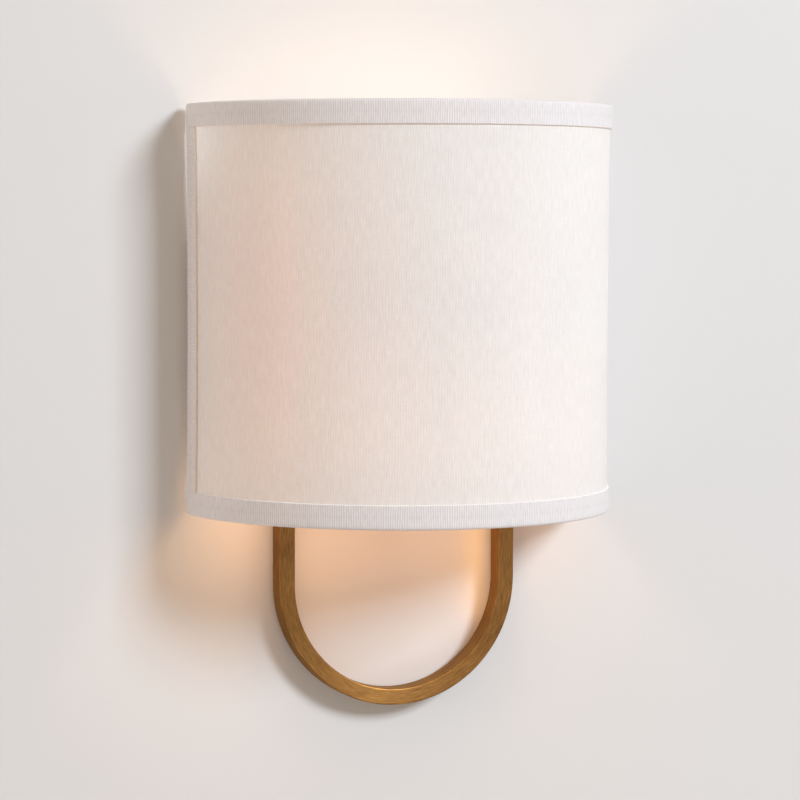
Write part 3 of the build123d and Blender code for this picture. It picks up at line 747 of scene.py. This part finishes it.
def graded(length: float, step: float, ends: Sequence[float]) -> list[float]:
    """Places along a length: close together near both ends, and even between them.

    Args:
        length: The whole length.
        step: Rough distance between places in the middle.
        ends: The places near the start, which are mirrored near the finish.

    Returns:
        The places, in order.
    """
    inner = ends[-1]
    count = max(1, round((length - 2 * inner) / step))
    middle = [inner + (length - 2 * inner) * i / count for i in range(1, count)]
    return [*ends, *middle, *(length - end for end in reversed(ends))]


def lengths_round(outline: Outline) -> list[float]:
    """Distance round a closed outline to each of its points, and back to the first.

    Args:
        outline: The outline's points.

    Returns:
        One distance for each point, and the whole length round.
    """
    total = [0.0]
    for here, there in zip(outline, [*outline[1:], outline[0]]):
        total.append(total[-1] + math.dist(here, there))
    return total


# ------------------------------------------------------------------------------------ shade

@dataclass
class ShadePlan:
    """The shade's half-circle plan, in which cloth is laid by how far it is along and in.

    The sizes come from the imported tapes. The rigid rims hold their shape. Between them, the cloth
    is drawn in a little towards the back edges, and puckers at the lower left corner, where the
    tapes meet.
    """

    radius: float
    back_y: float
    low: float
    high: float
    pucker_z: float
    waist: float = 0.8 * MM
    pucker: float = 1.5 * MM
    pucker_reach: float = 7 * MM

    @property
    def length(self) -> float:
        """Length of the shade's outside, from back edge to back edge."""
        return math.pi * self.radius

    def point(self, along: float, inset: float, z: float) -> Vector:
        """Place of a spot on the cloth.

        Args:
            along: Distance round the outside from the left back edge.
            inset: Distance in from the outside.
            z: Height.

        Returns:
            The point in the shared frame.
        """
        angle = along / self.radius
        middle, half = (self.high + self.low) / 2, (self.high - self.low) / 2
        bow = max(0.0, 1 - ((z - middle) / half) ** 2)
        inset += self.waist * bow * math.cos(angle) ** 2
        reach = math.hypot(along, z - self.pucker_z) / self.pucker_reach
        inset -= self.pucker * math.exp(-reach ** 2)
        out = self.radius - inset
        return Vector((-out * math.cos(angle), self.back_y - out * math.sin(angle), z))


@dataclass
class FabricShade:
    """Linen cloth on its liner, with tape folded over all four edges."""

    plan: ShadePlan
    tape_width: float
    edge_tape_width: float = 14.5 * MM
    hem: float = 8.0 * MM
    tape_thickness: float = 0.9 * MM
    fold_depth: float = 5.7 * MM
    fold_bend: float = 1.8 * MM
    selvedge: float = 0.25 * MM
    glue_depth: float = 0.05 * MM
    corner_radius: float = 2.2 * MM
    end_bend: float = 0.7 * MM
    rim_wave: float = 0.12 * MM
    rim_wave_length: float = 18 * MM
    edge_wave: float = 0.10 * MM
    edge_wave_length: float = 20 * MM
    edge_tape_proud: float = 0.12 * MM
    edge_tape_tuck: float = 0.1 * MM
    step_along: float = 2.6 * MM
    step_up: float = 3.5 * MM
    cloth_inset: float = 1.2 * MM
    cloth_ease: float = 0.1 * MM
    ease_lengths: Span = (34 * MM, 60 * MM)
    liner_inset: float = 1.5 * MM
    liner_thickness: float = 0.8 * MM
    edge_room: float = 1.7 * MM
    linen: ShadeLinen = ShadeLinen("linen_plain_weave")
    liner: StyreneSheet = StyreneSheet("styrene_satin_sheet")

    @classmethod
    def round_packed_tapes(cls) -> "FabricShade":
        """Take the shade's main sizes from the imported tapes.

        Returns:
            The shade, still to be built.
        """
        top_low, top_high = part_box("tape_top")
        bottom_low, bottom_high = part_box("tape_bottom")
        plan = ShadePlan(radius=top_high.x, back_y=top_high.y, low=bottom_low.z, high=top_high.z,
                         pucker_z=bottom_high.z)
        return cls(plan, tape_width=top_high.z - top_low.z)

    def fold_outline(self, width: float) -> list[tuple[float, float]]:
        """Section of a folded tape.

        Args:
            width: How far the tape reaches from the edge on the outside.

        Returns:
            A closed outline of (distance from the edge, inset), from the outer selvedge.
        """
        bend, deep, thick = self.fold_bend, self.fold_depth, self.tape_thickness
        turns = [math.radians(22.5 * step) for step in range(5)]
        outside = [(bend - bend * math.sin(a), bend - bend * math.cos(a)) for a in turns]
        tight = bend - thick
        inside = [(bend - tight * math.sin(a), bend - tight * math.cos(a)) for a in turns]
        runs = [width * share for share in (0.75, 0.5, 0.25)]
        # The selvedge reaches a little way into the cloth, which stands for its glue
        glued = self.cloth_inset + self.glue_depth
        return [(width, glued), (width, self.selvedge), (width - self.selvedge, 0.0),
                *((run, 0.0) for run in runs),
                *outside, *((d, deep - i) for d, i in reversed(outside)),
                (self.hem / 2, deep), (self.hem, deep), (self.hem, deep - thick),
                *((d, deep - i) for d, i in inside), *reversed(inside),
                *((run, thick) for run in reversed(runs)), (width - glued, thick)]

    def rim_tape(self, name: str, edge_z: float, inward: int, finish: Finish) -> bpy.types.Object:
        """Tape folded over the top or bottom rim, with its ends closed at the back edges.

        Args:
            name: The piece's name.
            edge_z: Height of the rim.
            inward: 1 if the tape reaches up from the rim, or -1 if it reaches down.
            finish: The tape's finish.

        Returns:
            The tape.
        """
        length, width, cap = self.plan.length, self.tape_width, self.tape_thickness

        def section(along: float, outline: Outline, narrow: float) -> list[Vector]:
            """One section of the tape, with its corner rounded near the ends.

            Args:
                along: Distance round the outside from the left back edge.
                outline: The section's outline.
                narrow: How far the outside and the inside are drawn together.

            Returns:
                The section's points.
            """
            drop = round_off(min(along, length - along), self.corner_radius)
            wander = noise.noise(Vector((along / self.rim_wave_length, edge_z / MM, 0.0)))
            placed = []
            for out, inset in outline:
                share = out / width
                up = out + drop * max(0.0, 1 - share) + self.rim_wave * wander * min(share, 1.0)
                inset = min(max(inset, narrow), self.fold_depth - narrow)
                placed.append(self.plan.point(along, inset, edge_z + inward * up))
            return placed

        draft = MeshDraft()
        outline = self.fold_outline(width)
        # Close together at first, where the corner is rounded
        first = [0.0, 0.3 * MM, 0.7 * MM, 1.2 * MM]
        places = [cap + place for place in graded(length - 2 * cap, self.step_along, first)]
        draft.add_sweep([section(place, outline, 0.0) for place in places], places,
                        lengths_round(outline), closed=True)
        # Each end is shut by a flap as thick as the tape, over the fold's whole width and depth
        shut = outline[:outline.index((self.hem / 2, self.fold_depth))]
        shut += [(width - self.selvedge, self.fold_depth), (width, self.fold_depth - self.selvedge)]
        near = [0.0, 0.1 * MM, 0.3 * MM, 0.6 * MM, cap]
        for spots in (near, [length - end for end in reversed(near)]):
            rows = [section(spot, shut, round_off(min(spot, length - spot), self.end_bend))
                    for spot in spots]
            draft.add_sweep(rows, spots, lengths_round(shut), closed=True)
        return draft.build(name, finish)

    def edge_tape(self, name: str, side: int, finish: Finish) -> bpy.types.Object:
        """Upright tape folded over a back edge, between the rim tapes.

        Args:
            name: The piece's name.
            side: -1 for the left edge, or 1 for the right.
            finish: The tape's finish.

        Returns:
            The tape.
        """
        low = self.plan.low + self.tape_width - self.edge_tape_tuck
        high = self.plan.high - self.tape_width + self.edge_tape_tuck
        outline = self.fold_outline(self.edge_tape_width)
        places = [low + place for place in graded(high - low, self.step_up, [0.0, 0.8 * MM])]

        def section(z: float) -> list[Vector]:
            """One level section of the tape.

            Args:
                z: Its height.

            Returns:
                The section's points.
            """
            wander = noise.noise(Vector((z / self.edge_wave_length, side * 3.0, 0.0)))
            placed = []
            for out, inset in outline:
                reach = out + self.edge_wave * wander * min(out / self.edge_tape_width, 1.0)
                along = reach if side < 0 else self.plan.length - reach
                placed.append(self.plan.point(along, inset - self.edge_tape_proud, z))
            return placed

        draft = MeshDraft()
        draft.add_sweep([section(z) for z in places], places, lengths_round(outline), closed=True)
        return draft.build(name, finish)

    def cloth(self, columns: int = 170, rows: int = 70) -> bpy.types.Object:
        """The linen, one sheet from tape to tape, with the slight unevenness of bonded cloth.

        Args:
            columns: Faces from back edge to back edge.
            rows: Faces from rim to rim.

        Returns:
            The cloth.
        """
        room = self.edge_room
        width, height = self.plan.length - 2 * room, self.plan.high - self.plan.low - 2 * room
        along = [room + width * i / columns for i in range(columns + 1)]
        heights = [self.plan.low + room + height * j / rows for j in range(rows + 1)]
        ease_along, ease_up = self.ease_lengths

        def spot(a: float, z: float) -> Vector:
            """A point of the cloth, eased in or out.

            Args:
                a: Distance round the outside from the left back edge.
                z: Height.

            Returns:
                The point in the shared frame.
            """
            ease = noise.noise(Vector((a / ease_along, z / ease_up, 4.0)))
            return self.plan.point(a, self.cloth_inset - self.cloth_ease * ease, z)

        draft = MeshDraft()
        draft.add_sweep([[spot(a, z) for z in heights] for a in along], along,
                        [z - heights[0] for z in heights], closed=False)
        return draft.build("linen_cloth", self.linen, closed=False)

    def liner_sheet(self, columns: int = 90, rows: int = 24) -> bpy.types.Object:
        """The styrene liner, which the cloth is bonded to.

        Args:
            columns: Faces from back edge to back edge.
            rows: Faces from rim to rim.

        Returns:
            The liner.
        """
        room = self.edge_room
        along = [room + (self.plan.length - 2 * room) * i / columns for i in range(columns + 1)]
        low, high = self.plan.low + room, self.plan.high - room
        heights = [low + (high - low) * j / rows for j in range(rows + 1)]
        inner = self.liner_inset + self.liner_thickness
        outline = [*((z, self.liner_inset) for z in heights), *((z, inner) for z in reversed(heights))]
        sections = [[self.plan.point(a, inset, z) for z, inset in outline] for a in along]
        draft = MeshDraft()
        draft.add_sweep(sections, along, lengths_round(outline), closed=True)
        sheet = draft.build("styrene_liner", self.liner)
        # A lamp's light goes through the clear sheet, so it throws no shadow
        sheet.visible_shadow = False
        return sheet

    def build(self) -> list[bpy.types.Object]:
        """Make the shade's soft pieces in place of the plain solids.

        Returns:
            The pieces that glow: the cloth, and then the tapes.
        """
        # The lower tape's standing edge is painted white as a highlight, and the upper's warm as a
        # glow
        lower = RibbedTape("linen_tape_lower", self.tape_width, painted_edge_light="#ffffff")
        upper = RibbedTape("linen_tape_upper", self.tape_width)
        upright = RibbedTape("linen_tape_upright", self.edge_tape_width, rib_height=0.12)
        cloth, liner = self.cloth(), self.liner_sheet()
        tapes = {
            "tape_top": self.rim_tape("tape_over_top_rim", self.plan.high, -1, upper),
            "tape_bottom": self.rim_tape("tape_over_bottom_rim", self.plan.low, 1, lower),
            "tape_left": self.edge_tape("tape_over_left_edge", -1, upright),
            "tape_right": self.edge_tape("tape_over_right_edge", 1, upright),
        }
        pieces = [(cloth, "shade_fabric", "linen"), (liner, "shade_liner", "styrene"),
                  *((tape, node, "linen_tape") for node, tape in tapes.items())]
        for piece, node, slot in pieces:
            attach(piece, "fixture")
            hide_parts(node)
            LOG.info("%s replaces %s, in %s", piece.name, node, piece.data.materials[0].name)
        return [cloth, *tapes.values()]


# ------------------------------------------------------------------------------------ rigid pieces

@dataclass
class RigidPieces:
    """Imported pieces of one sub-assembly. They keep their shape and take their finishes here."""

    nodes: Mapping[str, bpy.types.Object]

    def finishes(self) -> dict[str, Finish]:
        """Each piece's finish, by the piece's name."""
        raise NotImplementedError

    def dress(self) -> None:
        """Give every piece its finish."""
        for name, finish in self.finishes().items():
            piece = self.nodes[name]
            piece.data.materials.clear()
            piece.data.materials.append(finish.material())
            if isinstance(finish, LampGlass):
                # The light inside has to get out through the glass
                piece.visible_shadow = False
            LOG.info("%s is finished in %s", name, finish.name)


@dataclass
class WiringPan(RigidPieces):
    """Strap on the outlet box, its studs and nuts, and the brass pan that covers the box."""

    def finishes(self) -> dict[str, Finish]:
        """Zinc on the wall side, brass on the pan and its domed nuts.

        Returns:
            Each piece's finish, by the piece's name.
        """
        return {
            **dict.fromkeys(("mounting_strap", "mounting_studs", "stud_lock_nuts"), ZINC_STEEL),
            "ground_screw": GREEN_STEEL,
            **dict.fromkeys(("backplate", "cap_nut_left", "cap_nut_right"), UPRIGHT_BRASS),
            "wire_grommet": BLACK_NYLON,
        }


@dataclass
class BarHoop(RigidPieces):
    """U-shaped hoop of bent brass bar, screwed to the pan's sides."""

    bar: float = 9.5 * MM

    def finishes(self) -> dict[str, Finish]:
        """Brass whose grain follows the middle of the bar, through the bend and up both legs.

        Returns:
            Each piece's finish, by the piece's name.
        """
        low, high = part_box("hoop")
        brass = BrushedBrass("brass_antique_bar_grain", Grain.ALONG_HOOP,
                             arc_radius=high.x - self.bar / 2, arc_z=low.z + high.x)
        return {"hoop": brass, "hoop_screws": ZINC_STEEL}


@dataclass
class LampHolder(RigidPieces):
    """Bracket on the pan, with the nipple, cup and socket that hold the bulb upright."""

    def finishes(self) -> dict[str, Finish]:
        """Zinc on what the cup hides, brass on the cup, and phenolic round the contacts.

        Returns:
            Each piece's finish, by the piece's name.
        """
        return {
            **dict.fromkeys(("socket_bracket", "bracket_screws", "socket_nipple", "nipple_washer",
                             "nipple_lock_nut"), ZINC_STEEL),
            "nipple_bushing": BLACK_NYLON,
            "socket_cup": UPRIGHT_BRASS,
            "socket_body": PHENOLIC,
            **dict.fromkeys(("socket_screw_shell", "socket_centre_contact"), BRIGHT_BRASS),
        }


@dataclass
class Bulb(RigidPieces):
    """Frosted bulb with lit filaments round a glass stem."""

    def finishes(self) -> dict[str, Finish]:
        """Metal cap, black insulator and soldered tip below the glass.

        Returns:
            Each piece's finish, by the piece's name.
        """
        return {"bulb_base": NICKEL_BRASS, "bulb_insulator": BLACK_GLASS, "bulb_contact": SOLDER,
                "bulb_globe": FROSTED_GLASS, "bulb_stem": CLEAR_GLASS,
                "bulb_filaments": LIT_PHOSPHOR}

    def middle(self) -> Vector:
        """Middle of the globe, where the bulb's light starts."""
        low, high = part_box("bulb_globe")
        return (low + high) / 2


@dataclass
class ShadeFrame(RigidPieces):
    """Wires and straps inside the shade, and the studs, pins and nuts that carry them."""

    def finishes(self) -> dict[str, Finish]:
        """White wires and straps, on zinc studs with brass nuts.

        Returns:
            Each piece's finish, by the piece's name.
        """
        return {
            **{f"shade_wire_{edge}": WHITE_WIRE for edge in ("top", "bottom", "left", "right")},
            **dict.fromkeys(("fitter_strap_upper", "fitter_strap_lower"), WHITE_WIRE),
            **dict.fromkeys(("shade_studs", "locating_pins"), ZINC_STEEL),
            **dict.fromkeys(("thumb_nut_left", "thumb_nut_right"), UPRIGHT_BRASS),
        }


# ------------------------------------------------------------------------------------ studio

@dataclass(frozen=True)
class FlatLamp:
    """A flat lamp, aimed at a point. The unseen ones stand for light that the bulb spreads."""

    name: str
    place: Place
    target: Place
    size: Span
    power: float
    colour: str = "#ffffff"
    unseen: bool = False

    def build(self) -> bpy.types.Object:
        """Put the lamp in the scene.

        Returns:
            The lamp.
        """
        data = bpy.data.lights.new(self.name, "AREA")
        data.shape = "RECTANGLE"
        data.size, data.size_y = self.size
        data.energy = self.power
        data.color = linear(self.colour)[:3]
        lamp = bpy.data.objects.new(self.name, data)
        lamp.location = self.place
        aim = Vector(self.target) - Vector(self.place)
        lamp.rotation_euler = aim.to_track_quat("-Z", "Y").to_euler()
        if self.unseen:
            lamp.visible_camera = lamp.visible_glossy = lamp.visible_transmission = False
        bpy.context.scene.collection.objects.link(lamp)
        return lamp


STUDIO_BOXES = (
    FlatLamp("key_box", (1.49, -2.54, 1.40), (0.0, -0.05, -0.05), (0.84, 0.84), 90.0, "#eaf5ff"),
    FlatLamp("left_box", (-2.2, -0.40, 0.10), (0.0, -0.06, 0.0), (0.60, 0.80), 8.6, "#fff8f0"),
    FlatLamp("back_box", (-1.2, 2.2, 1.2), (0.0, 0.0, 0.0), (1.0, 1.0), 40.0),
)

# Inside the shade, facing its cloth
CLOTH_GLOWS = (
    FlatLamp("glow_left", (-0.045, -0.046, -0.005), (-0.145, -0.106, -0.005), (0.02, 0.16),
             0.061, "#ffa077", unseen=True),
    FlatLamp("glow_middle", (0.0, -0.068, 0.0), (0.0, -0.168, 0.0), (0.04, 0.12),
             0.077, "#ffbb92", unseen=True),
    FlatLamp("glow_right", (0.045, -0.046, 0.0), (0.145, -0.106, 0.0), (0.02, 0.16),
             0.060, "#f8f3f4", unseen=True),
)

# At the shade's open rims, aimed at the wall, and one beside the right leg of the hoop
SPILL_GLOWS = (
    FlatLamp("spill_below", (-0.02, -0.060, -0.100), (-0.02, 0.0, -0.20), (0.20, 0.07),
             0.034, "#ffaa60", unseen=True),
    FlatLamp("spill_low", (-0.02, -0.045, -0.122), (-0.02, 0.0, -0.215), (0.18, 0.03),
             0.024, "#ffae63", unseen=True),
    FlatLamp("spill_left", (-0.085, -0.040, -0.100), (-0.11, 0.0, -0.16), (0.04, 0.05),
             0.013, "#ffd0a0", unseen=True),
    FlatLamp("spill_right", (0.085, -0.050, -0.108), (0.095, 0.0, -0.135), (0.04, 0.03),
             0.003, "#ff9a60", unseen=True),
    FlatLamp("bar_glint", (0.057, -0.009, -0.158), (0.053, 0.0, -0.158), (0.005, 0.060),
             0.0015, "#ffb13f", unseen=True),
    FlatLamp("spill_above", (-0.02, -0.060, 0.100), (-0.02, 0.0, 0.20), (0.20, 0.07),
             0.026, "#ffe6d0", unseen=True),
)


@dataclass
class Studio:
    """Plain wall and floor, soft lamps and the camera."""

    bulb_place: Vector
    wall_size: float = 9.0
    wall_gap: float = 0.3 * MM
    floor_z: float = -1.7
    # The camera was fitted to the shade's rims and tapes and the hoop's sides; angles in degrees
    camera_place: Place = (-0.62605, -1.61495, 0.05839)
    camera_turn: float = 19.061
    camera_tilt: float = 4.511
    camera_roll: float = 0.069
    lens: float = 132.56
    shift: Span = (0.15, 0.05)
    ambient: float = 0.44
    air: str = "#ffe9d2"
    background: str = "#f3f2f0"
    bulb_power: float = 0.60
    bulb_colour: str = "#ffd5a6"
    bulb_radius: float = 30 * MM
    bulb_spread: float = 150.0
    bulb_fade: float = 0.6

    def plane(self, name: str, centre: Vector, turn: Matrix, finish: Finish) -> bpy.types.Object:
        """Make a square sheet of the stage.

        Args:
            name: The sheet's name.
            centre: Its middle.
            turn: How it is turned from lying level.
            finish: Its paint.

        Returns:
            The sheet.
        """
        half = self.wall_size / 2
        mesh = bpy.data.meshes.new(name)
        corners = [turn @ Vector((x * half, y * half, 0.0)) + centre
                   for x, y in ((-1, -1), (1, -1), (1, 1), (-1, 1))]
        mesh.from_pydata(corners, [], [(0, 1, 2, 3)])
        mesh.materials.append(finish.material())
        sheet = bpy.data.objects.new(name, mesh)
        bpy.context.scene.collection.objects.link(sheet)
        return sheet

    def build_stage(self) -> None:
        """The wall that the light hangs on, and a floor well below it."""
        upright = Matrix.Rotation(math.radians(90), 3, "X")
        self.plane("studio_wall", Vector((0.0, self.wall_gap, self.floor_z + self.wall_size / 2)),
                   upright, StagePaint("wall_paint_matt", "#dcdad9", hidden_from_behind=True))
        self.plane("studio_floor", Vector((0.0, 0.0, self.floor_z)), Matrix.Identity(3),
                   StagePaint("floor_paint_matt", "#dedcda"))

    def build_world(self) -> None:
        """Even light from all round, and a pale background for the camera, metal and glass."""
        world = bpy.data.worlds.new("studio_air")
        world.use_nodes = True
        world.node_tree.nodes.clear()
        bpy.context.scene.world = world
        path = add_node(world, "ShaderNodeLightPath").outputs
        seen = add_node(world, "ShaderNodeMath",
                        {0: path["Is Camera Ray"], 1: path["Is Transmission Ray"]},
                        operation="MAXIMUM").outputs[0]
        seen = add_node(world, "ShaderNodeMath", {0: seen, 1: path["Is Glossy Ray"]},
                        operation="MAXIMUM").outputs[0]
        lit = add_node(world, "ShaderNodeBackground",
                       {"Color": linear(self.air), "Strength": self.ambient}).outputs[0]
        pale = add_node(world, "ShaderNodeBackground",
                        {"Color": linear(self.background), "Strength": 1.0}).outputs[0]
        mixed = add_node(world, "ShaderNodeMixShader", {0: seen, 1: lit, 2: pale}).outputs[0]
        add_node(world, "ShaderNodeOutputWorld", {"Surface": mixed})

    def build_lamps(self, cloth: Sequence[bpy.types.Object]) -> None:
        """The studio's boxes, and the bulb with the warm light that it spreads.

        Args:
            cloth: The pieces that glow. The pale inside of the shade evens out the light that
                reaches them, so lamps of their own stand for it, and the bulb leaves them out.
        """
        for lamp in STUDIO_BOXES:
            lamp.build()
        glows = [lamp.build() for lamp in CLOTH_GLOWS]
        self.linked(glows, "by_cloth_glow", cloth, lit=True)
        for glow in glows:
            # Only the cloth and tapes stand in its way, so the frame throws no shadow on them
            glow.light_linking.blocker_collection = glow.light_linking.receiver_collection
        spill = [lamp.build() for lamp in SPILL_GLOWS]
        bulb = [self.warm_bulb("bulb_light_down", 0.0), self.warm_bulb("bulb_light_up", 180.0)]
        self.linked([*spill, *bulb], "not_by_bulb", cloth, lit=False)

    def linked(self, lamps: Sequence[bpy.types.Object], name: str,
               receivers: Sequence[bpy.types.Object], lit: bool) -> None:
        """Let lamps light only some pieces, or all but some pieces.

        Args:
            lamps: The lamps.
            name: Name for the group of pieces.
            receivers: The pieces.
            lit: True to light these pieces only, or False to light all the others.
        """
        group = bpy.data.collections.new(name)
        for piece in receivers:
            group.objects.link(piece)
        for lamp in lamps:
            lamp.light_linking.receiver_collection = group
        if not lit:
            for item in group.collection_objects:
                item.light_linking.link_state = "EXCLUDE"

    def warm_bulb(self, name: str, tilt: float) -> bpy.types.Object:
        """Half of the bulb's own light, for the wall, the hoop and the metal inside the shade.

        Args:
            name: The lamp's name.
            tilt: Degrees from straight down. The band between the two halves stays dark, because
                hardly any light leaves the shade by the narrow gap at its back edges.

        Returns:
            The lamp.
        """
        data = bpy.data.lights.new(name, "SPOT")
        data.energy = self.bulb_power
        data.color = linear(self.bulb_colour)[:3]
        data.shadow_soft_size = self.bulb_radius
        data.spot_size = math.radians(self.bulb_spread)
        data.spot_blend = self.bulb_fade
        lamp = bpy.data.objects.new(name, data)
        lamp.location = self.bulb_place
        lamp.rotation_euler = (math.radians(tilt), 0.0, 0.0)
        lamp.visible_camera = lamp.visible_transmission = False
        bpy.context.scene.collection.objects.link(lamp)
        return lamp

    def build_camera(self) -> None:
        """The camera, where the photograph was taken from."""
        data = bpy.data.cameras.new("camera")
        data.sensor_width = 36.0
        data.lens = self.lens
        data.shift_x, data.shift_y = self.shift
        camera = bpy.data.objects.new("camera", data)
        turn = (Matrix.Rotation(math.radians(-self.camera_turn), 4, "Z")
                @ Matrix.Rotation(math.radians(90 - self.camera_tilt), 4, "X")
                @ Matrix.Rotation(math.radians(self.camera_roll), 4, "Z"))
        camera.matrix_world = Matrix.Translation(self.camera_place) @ turn
        bpy.context.scene.collection.objects.link(camera)
        bpy.context.scene.camera = camera


# ------------------------------------------------------------------------------------ all of it

def main() -> None:
    """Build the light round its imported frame, then the studio."""
    logging.basicConfig(level=logging.INFO, format="%(message)s")
    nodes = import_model()["nodes"]
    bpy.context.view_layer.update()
    cloth = FabricShade.round_packed_tapes().build()
    bulb = Bulb(nodes)
    for pieces in (WiringPan(nodes), BarHoop(nodes), LampHolder(nodes), bulb, ShadeFrame(nodes)):
        pieces.dress()
    studio = Studio(bulb.middle())
    studio.build_stage()
    studio.build_world()
    studio.build_camera()
    studio.build_lamps(cloth)
    bpy.context.scene.view_settings.view_transform = "Standard"


if __name__ == "__main__":
    main()
